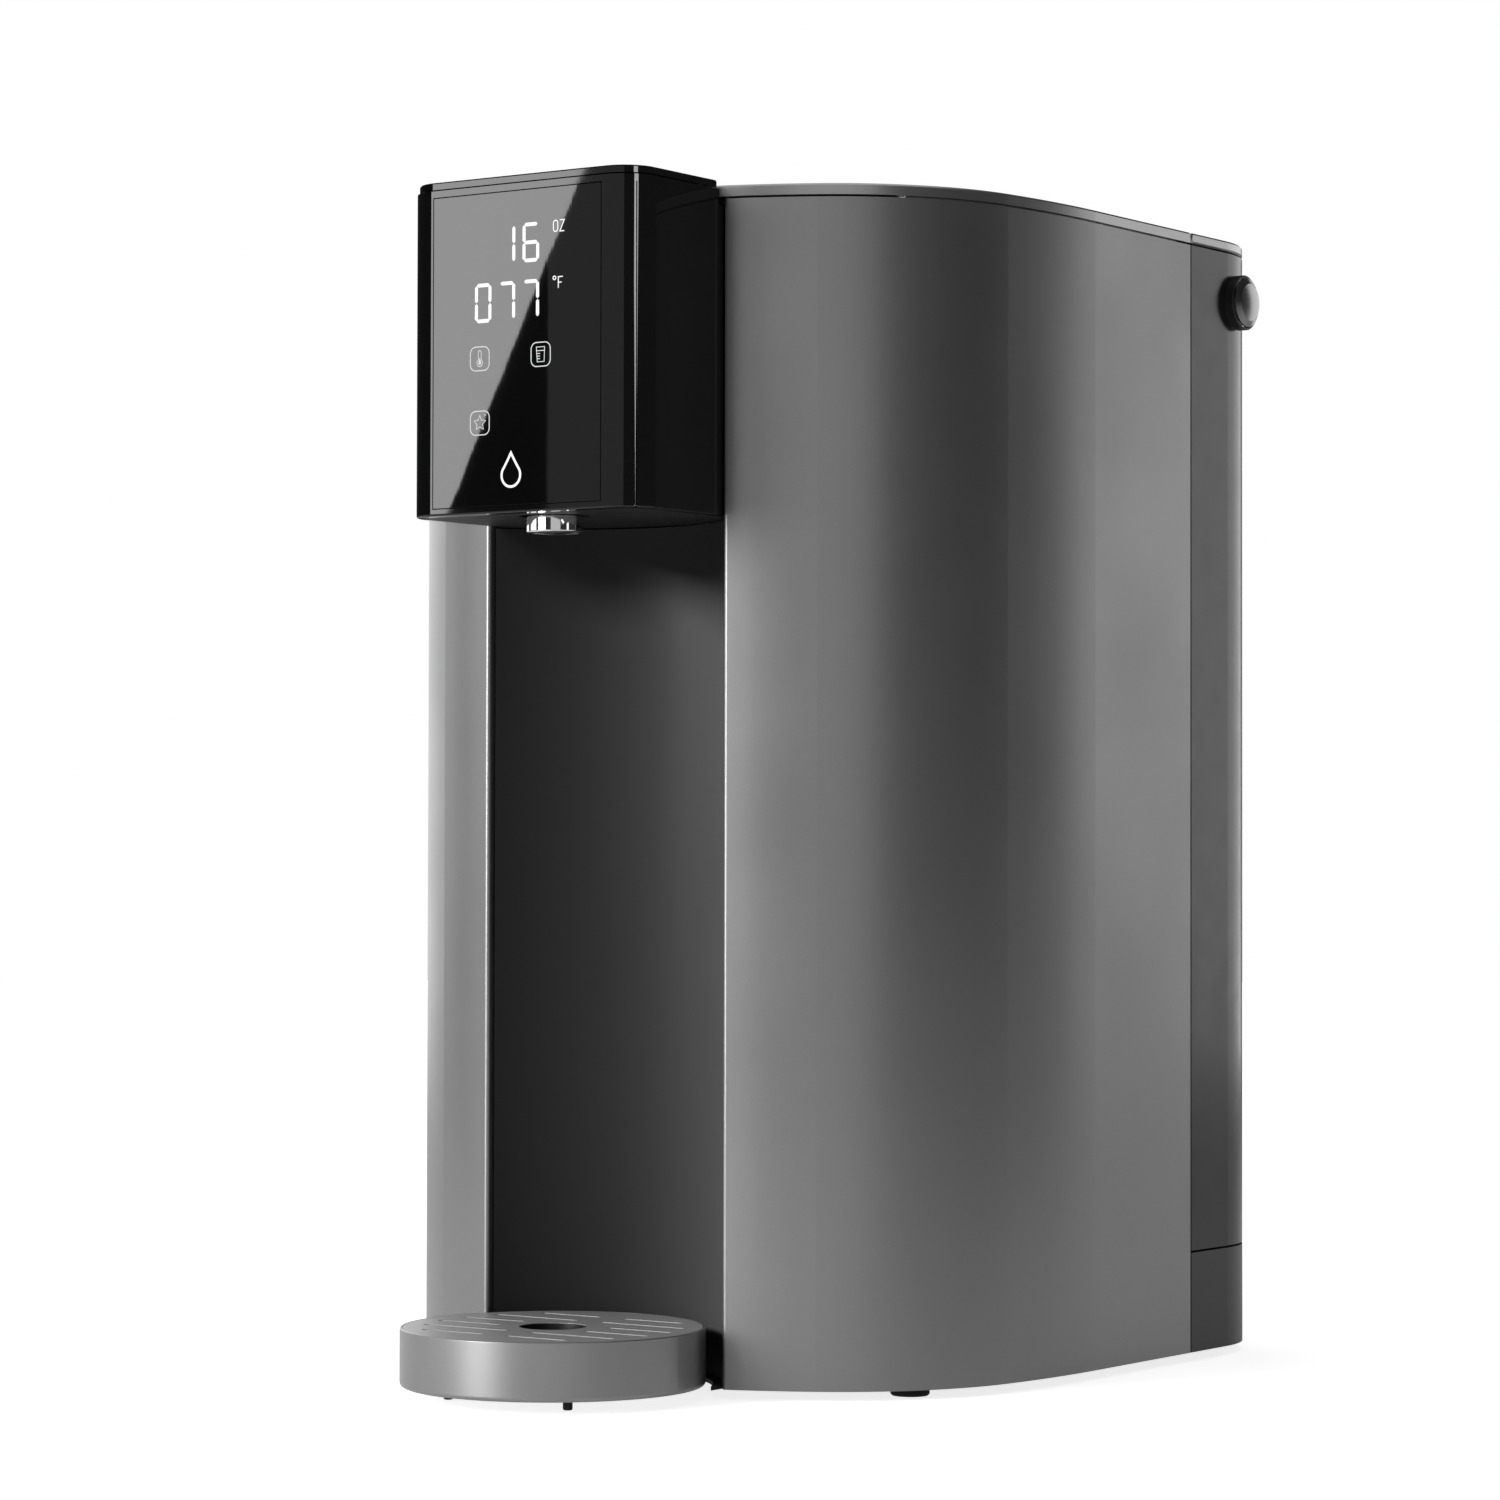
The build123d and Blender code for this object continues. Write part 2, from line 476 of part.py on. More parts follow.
with BuildPart() as flow_meter_housing:
    rod((0, HEATER_Y - 8, METER_Z), METER_R, 16, "Y")
    rod((0, HEATER_Y, METER_Z - 24), 5, 48)
    rod((0, HEATER_Y - 5.6, METER_Z), METER_R - 2.4, 11.2, "Y", Mode.SUBTRACT)
    rod((0, HEATER_Y, METER_Z - 25), 3, 50, mode=Mode.SUBTRACT)

with BuildPart() as flow_meter_turbine:
    rod((0, HEATER_Y - 4.8, METER_Z), 3, 9.6, "Y")
    with Locations(Location((0, HEATER_Y - 4, METER_Z), TURN["Y"])):
        with PolarLocations(7.6, 6):
            Box(10, 1.2, 8, align=LOW)

VALVE_Y = -70.0
VALVE_Z = 335.0
with BuildPart() as solenoid_valve:
    block((-12, 12), (VALVE_Y - 12, VALVE_Y + 12), (VALVE_Z - 9, VALVE_Z + 9))
    rod((0, VALVE_Y - 18, VALVE_Z), 5, 36, "Y")
    rod((0, VALVE_Y, VALVE_Z + 9), 6, 4)
    rod((0, VALVE_Y, VALVE_Z + 13), 13, 26)
    block((-14, 14), (VALVE_Y - 3, VALVE_Y + 3), (VALVE_Z + 12, VALVE_Z + 41))

# ---------------------------------------------------------------- circuit boards
BOARD_X = FRAME_X - 7.0


def power_parts(side):
    """Tall parts of the power board: transformer, capacitors and heat sink, as (y, z, width, height)."""
    for y, z, wide, tall in ((20, 178, 26, 30), (20, 240, 20, 22), (56, 180, 18, 26), (54, 252, 26, 40)):
        reach = sorted((side * (BOARD_X - 8), side * BOARD_X))
        block(reach, (y - wide / 2, y + wide / 2), (z - tall / 2, z + tall / 2))


def logic_parts(side):
    """Low parts of the control board: processor, relays and connectors."""
    for y, z, wide, tall in ((16, 172, 16, 24), (16, 204, 16, 24), (56, 196, 14, 14), (40, 276, 50, 7)):
        reach = sorted((side * (BOARD_X - 5), side * BOARD_X))
        block(reach, (y - wide / 2, y + wide / 2), (z - tall / 2, z + tall / 2))


def board(side, parts):
    """Circuit board on four standoffs against a frame plate."""
    with BuildPart() as card:
        block(sorted((side * BOARD_X, side * (BOARD_X + BOARD_T))), (0, 80), (150, 290))
        for y in (5.0, 75.0):
            for z in (155.0, 285.0):
                start = BOARD_X + BOARD_T if side > 0 else -FRAME_X
                rod((start, y, z), 3, FRAME_X - BOARD_X - BOARD_T, "X")
        parts(side)
    return card.part


with BuildPart() as power_supply_board:
    add(board(-1, power_parts))

with BuildPart() as main_control_board:
    add(board(1, logic_parts))

# ---------------------------------------------------------------- water tubes
TUBE_R = 3.2
TUBE_BORE = 2.2
TUBE_BEND = 9.0


def water_tube(*points):
    """Tube along straight runs joined by tangent bends."""
    with BuildPart() as tube:
        with BuildLine() as path:
            if len(points) == 2:
                Line(*points)
            else:
                FilletPolyline(*points, radius=TUBE_BEND)
        with BuildSketch(Plane(origin=path.line @ 0, z_dir=path.line % 0)):
            Circle(TUBE_R)
            Circle(TUBE_BORE, mode=Mode.SUBTRACT)
        sweep(path=path.line)
    return tube.part


SOCKET_END = BULKHEAD_Y - 16.0
with BuildPart() as tank_feed_tube:
    add(water_tube((0, SOCKET_END, COUPLING_Z), (0, 68, COUPLING_Z), (0, 68, MANIFOLD_Z)))

with BuildPart() as pump_feed_tube:
    add(water_tube((25, PUMP_Y, PUMP_Z + 27), (25, PUMP_Y, MANIFOLD_Z)))

with BuildPart() as pump_outlet_tube:
    add(water_tube((40, PUMP_Y, PUMP_Z), (58, PUMP_Y, PUMP_Z), (58, PUMP_Y, MANIFOLD_Z)))

with BuildPart() as meter_feed_tube:
    add(water_tube((0, 10, MANIFOLD_Z + 11), (0, HEATER_Y, MANIFOLD_Z + 11), (0, HEATER_Y, METER_Z - 24)))

with BuildPart() as heater_feed_tube:
    add(water_tube((0, HEATER_Y, METER_Z + 24), (0, HEATER_Y, HEATER_Z - 7)))

with BuildPart() as hot_water_tube:
    add(water_tube((0, HEATER_Y, HEATER_Z + HEATER_H + 7), (0, HEATER_Y, VALVE_Z), (0, VALVE_Y + 18, VALVE_Z)))

with BuildPart() as nozzle_tube:
    add(water_tube((0, VALVE_Y - 18, VALVE_Z), (0, AXIS_Y, VALVE_Z), (0, AXIS_Y, HEAD_Z + WALL + 9)))

# ---------------------------------------------------------------- water tank
HINGE_Y = TANK_Y + 2.2
HINGE_Z = BODY_TOP - LID_T / 2
HINGE_R = 1.2
EAR_X = 73.0
EAR_HALF = 3.0
KNOB_HOLE_R = 3.4
COLLAR_IN = KNOB_R - 0.9
COLLAR_H = 3.5

with BuildPart() as tank_shell:
    raise_plan(zone(0, TANK_Y, REAR_Y + 1), TANK_Z, SHELL_TOP)
    raise_plan(zone(WALL, TANK_Y + WALL, REAR_Y), TANK_Z + FLOOR_T, HEIGHT, Mode.SUBTRACT)
    for side in (-1, 1):
        ear = (side * EAR_X - EAR_HALF, side * EAR_X + EAR_HALF)
        block(ear, (TANK_Y + 0.2, TANK_Y + 5), (SHELL_TOP - 6, BODY_TOP - 0.3))
        rod((ear[0] - 1, HINGE_Y, HINGE_Z), HINGE_R, 2 * EAR_HALF + 2, "X", Mode.SUBTRACT)
        rod((side * (HALF_W - WALL / 2) - 3, KNOB_Y, KNOB_Z), KNOB_HOLE_R, 6, "X", Mode.SUBTRACT)
    rod((0, TANK_Y - 1, COUPLING_Z), 8.0, 6, "Y", Mode.SUBTRACT)

with BuildPart() as tank_outlet_valve:
    rod((0, TANK_Y - 14, COUPLING_Z), 8, 14 + WALL, "Y")
    rod((0, TANK_Y + WALL, COUPLING_Z), 10, 3, "Y")
    rod((0, TANK_Y - 15, COUPLING_Z), 6, 40, "Y", Mode.SUBTRACT)
    pipe((0, TANK_Y + WALL, COUPLING_Z), 6.2, 3.2, 1.2, "Y")
    for turn in (45, 135, 225, 315):
        x = 4.6 * cos(radians(turn))
        z = COUPLING_Z + 4.6 * sin(radians(turn))
        rod((x, TANK_Y, z), 0.9, 6, "Y", Mode.SUBTRACT)

with BuildPart() as valve_plunger:
    rod((0, TANK_Y - 9, COUPLING_Z), 5.5, 2.5, "Y")
    rod((0, TANK_Y - 9, COUPLING_Z), 2.4, 24, "Y")
    rod((0, TANK_Y + 13.5, COUPLING_Z), 4.5, 1.5, "Y")

with BuildPart() as valve_spring:
    with BuildLine() as coil:
        Helix(pitch=1.7, height=6.8, radius=3.7, center=(0, TANK_Y + 5.9, COUPLING_Z), direction=(0, 1, 0))
    with BuildSketch(Plane(origin=coil.line @ 0, z_dir=coil.line % 0)):
        Circle(0.4)
    sweep(path=coil.line, is_frenet=True)

with BuildPart() as outlet_strainer:
    rod((0, TANK_Y + WALL, COUPLING_Z), 12.6, 17, "Y")
    rod((0, TANK_Y + WALL - 1, COUPLING_Z), 11.4, 16.8, "Y", Mode.SUBTRACT)
    for row in range(3):
        with Locations(Location((0, TANK_Y + 6 + row * 4, COUPLING_Z), TURN["Y"])):
            with PolarLocations(12, 10):
                Box(6, 2.4, 2.4, mode=Mode.SUBTRACT)

with BuildPart() as tank_hinge_pins:
    for side in (-1, 1):
        rod((side * EAR_X - EAR_HALF - 4, HINGE_Y, HINGE_Z), HINGE_R, 2 * EAR_HALF + 8, "X")

with BuildPart() as tank_lid:
    raise_plan(zone(0, TANK_Y, REAR_Y + 1), LID_Z, BODY_TOP)
    front_edges = tank_lid.edges().filter_by(Axis.X).sort_by(Axis.Y)[:2]
    fillet(front_edges, LID_T / 2 - 0.05)
    rim = tank_lid.faces().sort_by(Axis.Z)[-1].edges().sort_by(Axis.Y)[1:]
    chamfer(rim, 0.7)
    for side in (-1, 1):
        notch = (side * EAR_X - EAR_HALF - 0.4, side * EAR_X + EAR_HALF + 0.4)
        block(notch, (TANK_Y - 1, TANK_Y + 8), (LID_Z - 1, HEIGHT + 1), Mode.SUBTRACT)
        rod((side * EAR_X - EAR_HALF - 4.3, HINGE_Y, HINGE_Z), HINGE_R + 0.3, 2 * EAR_HALF + 8.6, "X",
            Mode.SUBTRACT)

SEAL_INSET = WALL + 0.6
with BuildPart() as tank_lid_seal:
    seal_front = TANK_Y + WALL + 4
    raise_plan(zone(SEAL_INSET, seal_front, REAR_Y), LID_Z - 3, LID_Z)
    raise_plan(zone(SEAL_INSET + 3, seal_front + 3, REAR_Y), LID_Z - 4, LID_Z + 1, Mode.SUBTRACT)


def button_collar(side):
    """Guide ring of a release button, on the outside of the tank."""
    with BuildPart() as ring:
        start = HALF_W if side > 0 else -HALF_W - COLLAR_H
        pipe((start, KNOB_Y, KNOB_Z), KNOB_R, COLLAR_IN, COLLAR_H, "X")
        rims = ring.edges().filter_by(GeomType.CIRCLE).group_by(Axis.X)[-1 if side > 0 else 0]
        chamfer(rims.sort_by(SortBy.RADIUS)[-1], 0.4)
    return ring.part


CAP_R = COLLAR_IN - 0.3
CAP_BACK = HALF_W + KNOB_TRAVEL + 0.3
CAP_FACE = HALF_W + 6.5
DOME_R = CAP_R - 2.2
DOME_H = 1.0
DOME_BALL_R = (DOME_R**2 + DOME_H**2) / (2 * DOME_H)
HALF_TURN = asin(DOME_R / DOME_BALL_R) / 2
DOME_MIDDLE = (CAP_FACE - DOME_BALL_R * (1 - cos(HALF_TURN)), DOME_BALL_R * sin(HALF_TURN))
DISC_R = 4.8            # disc in the middle of the cap, inside a fine groove


def release_button(side):
    """Domed button cap with a stem through the tank wall and a latch nub inside."""
    with BuildPart() as button:
        with BuildSketch(Plane.XZ):
            with BuildLine():
                Polyline((CAP_BACK, 0), (CAP_BACK, CAP_R), (CAP_BACK + 0.8, CAP_R), (CAP_FACE - DOME_H, DOME_R))
                ThreePointArc((CAP_FACE - DOME_H, DOME_R), DOME_MIDDLE, (CAP_FACE, 0))
                Line((CAP_FACE, 0), (CAP_BACK, 0))
            make_face()
        revolve(axis=Axis.X)
        pipe((CAP_FACE - 0.35, 0, 0), DISC_R + 0.3, DISC_R, 1, "X", Mode.SUBTRACT)
        rod((HALF_W - 12, 0, 0), KNOB_HOLE_R - 0.4, CAP_BACK - HALF_W + 12.1, "X")
        block((HALF_W - 12, HALF_W - 9), (-4, 4), (-6, 2))
    turn = 0 if side > 0 else 180
    return button.part.moved(Location((0, KNOB_Y, KNOB_Z), (0, 0, turn)))


with BuildPart() as right_button_collar:
    add(button_collar(1))

with BuildPart() as left_button_collar:
    add(button_collar(-1))

with BuildPart() as right_release_button:
    add(release_button(1))

with BuildPart() as left_release_button:
    add(release_button(-1))

# ---------------------------------------------------------------- drip tray
TRAY_TOP = TRAY_Z + TRAY_H
LEDGE_Z = TRAY_TOP - GRID_T - 0.3
RIM_T = 0.7             # thin lip round the grid
GRID_R = TRAY_R - RIM_T - 0.25
SLOT_W = 2.5
SLOT_ROWS = (6.9, 20.7, 34.5)
SLOT_REACH = 46.5       # outer ends of the slots lie on this circle
CENTRE_HOLE_R = 12.0
PEG_R = 1.7
PEG_CIRCLE = 37.0

with BuildPart() as tray_cup:
    rod((0, AXIS_Y, TRAY_Z), TRAY_R, TRAY_H)
    fillet(tray_cup.edges().filter_by(GeomType.CIRCLE).group_by(Axis.Z)[0], 1.5)
    fillet(tray_cup.edges().filter_by(GeomType.CIRCLE).group_by(Axis.Z)[-1], 0.3)
    rod((0, AXIS_Y, LEDGE_Z), TRAY_R - RIM_T, TRAY_H, mode=Mode.SUBTRACT)
    rod((0, AXIS_Y, TRAY_Z + WALL), TRAY_R - 2 * WALL, TRAY_H, mode=Mode.SUBTRACT)

with BuildPart() as tray_pegs:
    for turn in (-135, -45, 45, 135):
        x = PEG_CIRCLE * cos(radians(turn))
        y = AXIS_Y + PEG_CIRCLE * sin(radians(turn))
        rod((x, y, 0), PEG_R, TRAY_Z)
    fillet(tray_pegs.edges().filter_by(GeomType.CIRCLE).group_by(Axis.Z)[0], 0.6)

with BuildPart() as drip_grid:
    rod((0, AXIS_Y, TRAY_TOP - GRID_T), GRID_R, GRID_T)
    fillet(drip_grid.edges().filter_by(GeomType.CIRCLE).group_by(Axis.Z)[-1], 0.2)
    rod((0, AXIS_Y, 0), CENTRE_HOLE_R, 60, mode=Mode.SUBTRACT)
    with BuildSketch(Plane.XY.offset(TRAY_TOP - GRID_T)):
        for row in SLOT_ROWS:
            inner = 18.5 if row == SLOT_ROWS[0] else 5.0
            outer = sqrt(SLOT_REACH**2 - row**2)
            for x in (-(inner + outer) / 2, (inner + outer) / 2):
                with Locations((x, AXIS_Y - row), (x, AXIS_Y + row)):
                    SlotOverall(outer - inner, SLOT_W)
    extrude(amount=GRID_T, mode=Mode.SUBTRACT)

# ---------------------------------------------------------------- one STEP file for each piece
PIECES = {
    "base_pan": base_pan,
    "rubber_feet": rubber_feet,
    "base_screws": base_screws,
    "power_inlet_socket": power_inlet_socket,
    "inlet_pins": inlet_pins,
    "right_side_panel": right_side_panel,
    "left_side_panel": left_side_panel,
    "recess_liner": recess_liner,
    "head_shell": head_shell,
    "display_window": display_window,
    "head_top_plate": head_top_plate,
    "head_underside_cover": head_underside_cover,
    "outlet_nozzle": outlet_nozzle,
    "nozzle_aerator": nozzle_aerator,
    "display_board": display_board,
    "digit_display_module": digit_display_module,
    "touch_sensor_board": touch_sensor_board,
    "top_cover": top_cover,
    "right_frame_plate": right_frame_plate,
    "left_frame_plate": left_frame_plate,
    "rear_bulkhead": rear_bulkhead,
    "tank_coupling_socket": tank_coupling_socket,
    "coupling_seal": coupling_seal,
    "filter_manifold": filter_manifold,
    "prefilter_cartridge": prefilter_cartridge,
    "membrane_cartridge": membrane_cartridge,
    "pump_motor": pump_motor,
    "pump_head": pump_head,
    "pump_bracket": pump_bracket,
    "pump_grommets": pump_grommets,
    "instant_heater": instant_heater,
    "heater_bracket": heater_bracket,
    "thermal_cutoff": thermal_cutoff,
    "flow_meter_housing": flow_meter_housing,
    "flow_meter_turbine": flow_meter_turbine,
    "solenoid_valve": solenoid_valve,
    "power_supply_board": power_supply_board,
    "main_control_board": main_control_board,
    "tank_feed_tube": tank_feed_tube,
    "pump_feed_tube": pump_feed_tube,
    "pump_outlet_tube": pump_outlet_tube,
    "meter_feed_tube": meter_feed_tube,
    "heater_feed_tube": heater_feed_tube,
    "hot_water_tube": hot_water_tube,
    "nozzle_tube": nozzle_tube,
    "tank_shell": tank_shell,
    "tank_outlet_valve": tank_outlet_valve,
    "valve_plunger": valve_plunger,
    "valve_spring": valve_spring,
    "outlet_strainer": outlet_strainer,
    "tank_hinge_pins": tank_hinge_pins,
    "tank_lid": tank_lid,
    "tank_lid_seal": tank_lid_seal,
    "right_button_collar": right_button_collar,
    "left_button_collar": left_button_collar,
    "right_release_button": right_release_button,
    "left_release_button": left_release_button,
    "tray_cup": tray_cup,
    "tray_pegs": tray_pegs,
    "drip_grid": drip_grid,
}

os.makedirs("parts", exist_ok=True)
for name, piece in PIECES.items():
    piece.part.label = name
    export_step(piece.part, f"parts/{name}.step")
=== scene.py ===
from math import cos, hypot, pi, radians, sin

import bmesh
import bpy
from mathutils import Euler, Matrix, Vector


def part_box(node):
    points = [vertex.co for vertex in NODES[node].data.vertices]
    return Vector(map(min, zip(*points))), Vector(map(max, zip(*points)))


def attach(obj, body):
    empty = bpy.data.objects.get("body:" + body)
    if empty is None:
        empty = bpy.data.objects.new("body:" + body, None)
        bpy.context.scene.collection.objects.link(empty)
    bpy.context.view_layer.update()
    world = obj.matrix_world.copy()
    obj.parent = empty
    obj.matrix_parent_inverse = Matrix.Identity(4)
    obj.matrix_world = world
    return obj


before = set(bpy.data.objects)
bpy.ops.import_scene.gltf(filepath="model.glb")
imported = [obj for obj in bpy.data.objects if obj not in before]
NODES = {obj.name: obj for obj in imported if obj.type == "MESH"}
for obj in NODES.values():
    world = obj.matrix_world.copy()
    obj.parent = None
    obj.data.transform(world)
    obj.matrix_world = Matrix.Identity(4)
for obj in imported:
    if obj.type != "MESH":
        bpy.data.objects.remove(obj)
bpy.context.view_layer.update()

BODY_NAME = "machine_body"
MM = 0.001
SCENE = bpy.context.scene
SCENE.view_settings.view_transform = "Standard"

# ---------------------------------------------------------------- camera
CAMERA_AZIMUTH = 34.51      # degrees to the right of the front
CAMERA_PITCH = 1.26         # degrees upwards
CAMERA_ROLL = 0.12          # degrees
CAMERA_HEIGHT = 0.1934
CAMERA_REACH = 1.5988       # along the view, from the camera to the dispensing axis
AXIS_LEFT = 0.0691          # the dispensing axis, left of the view's centre line
LENS = 108.45
SENSOR = 36.0
VIEW_END = 50


def dispensing_axis():
    """Middle of the nozzle, which is also the middle of the drip tray."""
    low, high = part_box("outlet_nozzle")
    return Vector(((low[0] + high[0]) / 2, (low[1] + high[1]) / 2, 0))


def place_camera():
    turn = radians(CAMERA_AZIMUTH)
    forward = Vector((-sin(turn), cos(turn), 0))
    right = Vector((cos(turn), sin(turn), 0))
    camera = bpy.data.cameras.new("camera")
    camera.lens = LENS
    camera.sensor_width = SENSOR
    camera.clip_end = VIEW_END
    holder = bpy.data.objects.new("camera", camera)
    holder.location = dispensing_axis() - forward * CAMERA_REACH + right * AXIS_LEFT
    holder.location.z = CAMERA_HEIGHT
    upright = Euler((pi / 2 + radians(CAMERA_PITCH), 0, turn)).to_matrix()
    holder.rotation_euler = (upright @ Matrix.Rotation(radians(CAMERA_ROLL), 3, "Z")).to_euler()
    SCENE.collection.objects.link(holder)
    SCENE.camera = holder


place_camera()


# ---------------------------------------------------------------- materials
def grey(level):
    return (level, level, level, 1)


class Paint:
    """A node material that is built up in steps."""

    def __init__(self, name, **shader):
        self.material = bpy.data.materials.new(name)
        self.material.use_nodes = True
        self.tree = self.material.node_tree
        self.shader = self.tree.nodes["Principled BSDF"]
        for socket, value in shader.items():
            self.shader.inputs[socket.replace("_", " ")].default_value = value
        self.place = self.node("ShaderNodeTexCoord").outputs["Object"]

    def node(self, kind, inputs=None, **settings):
        made = self.tree.nodes.new(kind)
        for key, value in settings.items():
            setattr(made, key, value)
        for key, value in (inputs or {}).items():
            self.feed(made.inputs[key], value)
        return made

    def feed(self, socket, value):
        if isinstance(value, bpy.types.NodeSocket):
            self.tree.links.new(value, socket)
        else:
            socket.default_value = value

    def stretched(self, factors):
        """The object's coordinates, scaled by a factor on each axis."""
        return self.node("ShaderNodeMapping", {"Vector": self.place, "Scale": factors}).outputs["Vector"]

    def noise(self, scale, detail=3.0, place=None, roughness=0.55):
        wanted = {"Vector": place or self.place, "Scale": scale, "Detail": detail, "Roughness": roughness}
        return self.node("ShaderNodeTexNoise", wanted).outputs["Fac"]

    def cells(self, scale, output="Distance", **settings):
        wanted = {"Vector": self.place, "Scale": scale}
        return self.node("ShaderNodeTexVoronoi", wanted, **settings).outputs[output]

    def ramp(self, value, low, high, out_low=0.0, out_high=1.0):
        """Straight line from out_low at low to out_high at high, held beyond them."""
        wanted = {"Value": value, "From Min": low, "From Max": high, "To Min": out_low, "To Max": out_high}
        return self.node("ShaderNodeMapRange", wanted).outputs["Result"]

    def maths(self, operation, first, second):
        return self.node("ShaderNodeMath", {0: first, 1: second}, operation=operation).outputs[0]

    def axis(self, letter):
        return self.node("ShaderNodeSeparateXYZ", {0: self.place}).outputs[letter]

    def blend(self, amount, first, second):
        mixed = self.node("ShaderNodeMix", data_type="RGBA")
        self.feed(mixed.inputs[0], amount)
        self.feed(mixed.inputs[6], first)
        self.feed(mixed.inputs[7], second)
        return mixed.outputs[2]

    def colour(self, value):
        self.feed(self.shader.inputs["Base Color"], value)

    def rough(self, value, low, high):
        """Roughness between low and high, over the middle of a noise's range."""
        self.feed(self.shader.inputs["Roughness"], self.ramp(value, 0.3, 0.7, low, high))

    def bump(self, *layers):
        """Stack height layers, each (height, strength, depth in metres)."""
        normal = None
        for height, strength, depth in layers:
            wanted = {"Height": height, "Strength": strength, "Distance": depth}
            if normal:
                wanted["Normal"] = normal
            normal = self.node("ShaderNodeBump", wanted).outputs["Normal"]
        self.feed(self.shader.inputs["Normal"], normal)


FLAKE_CELLS = 5200.0        # per metre
GRAIN_CELLS = 3800.0


def lacquer(name, tone, metallic, rough, level=0.5):
    """Sprayed metallic lacquer with fine flake and a little orange peel. Returns the paint and its colour."""
    paint = Paint(name, Metallic=metallic, Specular_IOR_Level=level)
    flake = paint.cells(FLAKE_CELLS, "Color")
    sparkle = paint.node("ShaderNodeSeparateColor", {0: flake}).outputs[0]
    base = paint.blend(paint.noise(9.0, 4.0), grey(tone * 0.94), grey(tone * 1.06))
    coat = paint.blend(paint.ramp(sparkle, 0.86, 1.0, 0.0, 0.4), base, grey(tone * 1.25))
    paint.colour(coat)
    paint.rough(paint.noise(14.0, 2.0), *rough)
    paint.bump((paint.noise(240.0, 1.0), 0.03, 0.0002), (paint.cells(GRAIN_CELLS), 0.012, 0.0001))
    return paint, coat


def satin_paint(name, tone, metallic=0.85, rough=(0.34, 0.4), level=0.5):
    return lacquer(name, tone, metallic, rough, level)[0].material


PAINTED_SHADE = grey(0.01)           # painted shade: near black, inside the tray's cup and down the grid's centre hole
MASK_EDGE = 0.2 * MM        # width over which the lacquer gives way to painted shade
CUP_RIM = 1.0 * MM          # the painted shade starts this far in from the cup's outside
CUP_FLOOR = 1.4 * MM        # the cup is painted in shade above this height
GRID_MASK_R = 14.0 * MM     # a little wider than the grid's centre hole
GRID_FACE = 0.15 * MM       # the painted shade starts this far down from the grid's top


def distance_from_tray_axis(paint):
    low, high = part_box("tray_cup")
    middle = tuple((a + b) / 2 for a, b in zip(low, high))
    offset = paint.node("ShaderNodeVectorMath", {0: paint.place, 1: middle}, operation="SUBTRACT").outputs[0]
    flat = paint.node("ShaderNodeVectorMath", {0: offset, 1: (1, 1, 0)}, operation="MULTIPLY").outputs[0]
    return paint.node("ShaderNodeVectorMath", {0: flat}, operation="LENGTH").outputs["Value"]


def paint_shade_where(paint, coat, first_mask, second_mask, metallic):
    """Paint shade, near black and not metallic, where both masks are 1, on a lacquer of the given metallic level.
    """
    shade_mask = paint.maths("MULTIPLY", first_mask, second_mask)
    paint.colour(paint.blend(shade_mask, coat, PAINTED_SHADE))
    paint.feed(paint.shader.inputs["Metallic"], paint.ramp(shade_mask, 0.0, 1.0, metallic, 0.0))
    return paint.material


def tray_paint(metallic=0.85):
    """Lacquer outside the cup, painted shade inside it."""
    paint, coat = lacquer("tray_lacquer", 0.32, metallic, (0.3, 0.36))
    low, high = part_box("tray_cup")
    wall = (high[0] - low[0]) / 2 - CUP_RIM
    floor_z = low[2] + CUP_FLOOR
    inside = paint.ramp(distance_from_tray_axis(paint), wall, wall - MASK_EDGE)
    above = paint.ramp(paint.axis("Z"), floor_z, floor_z + MASK_EDGE)
    return paint_shade_where(paint, coat, inside, above, metallic)


def grid_paint(metallic=0.3):
    """Lacquer on the grid, painted shade down the wall of its centre hole."""
    paint, coat = lacquer("grid_lacquer", 0.42, metallic, (0.4, 0.46))
    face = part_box("drip_grid")[1][2] - GRID_FACE
    # painted shade down the wall of the centre hole
    inside = paint.ramp(distance_from_tray_axis(paint), GRID_MASK_R, GRID_MASK_R - MASK_EDGE)
    below = paint.ramp(paint.axis("Z"), face, face - GRID_FACE)
    return paint_shade_where(paint, coat, inside, below, metallic)


def gloss_black(name, tone=0.006, level=0.5, rough=(0.015, 0.03)):
    """Piano black: deep gloss with faint polishing marks."""
    paint = Paint(name, Specular_IOR_Level=level)
    paint.colour(paint.blend(paint.noise(30.0), grey(tone * 0.8), grey(tone * 1.2)))
    paint.rough(paint.noise(14.0, 5.0, paint.stretched((1.0, 1.0, 0.35))), *rough)
    scratch = paint.noise(900.0, 2.0, paint.stretched((1.0, 1.0, 0.02)))
    paint.bump((paint.noise(55.0, 1.0), 0.01, 0.0004), (scratch, 0.006, 0.00005))
    return paint.material


def moulded(name, dark, light, rough=(0.42, 0.55), grain=1600.0, depth=0.00012, **shader):
    """Moulded plastic with spark-eroded grain and a slight flow pattern."""
    paint = Paint(name, **shader)
    flow = paint.noise(22.0, 4.0, paint.stretched((1.0, 1.0, 0.4)))
    paint.colour(paint.blend(flow, dark, light))
    paint.rough(paint.noise(140.0, 3.0), *rough)
    paint.bump((paint.noise(grain, 3.0), 0.22, depth), (paint.cells(grain * 0.6), 0.10, depth))
    return paint.material


def brushed(name, dark, light, stretch, rough=(0.2, 0.34), **shader):
    """Metal brushed along the axis with the smallest stretch factor."""
    paint = Paint(name, Metallic=1.0, **shader)
    lines = paint.noise(1.0, 6.0, paint.stretched(stretch), 0.7)
    paint.colour(paint.blend(lines, dark, light))
    paint.rough(lines, *rough)
    paint.bump((lines, 0.12, 0.00008), (paint.noise(40.0), 0.03, 0.0003))
    return paint.material


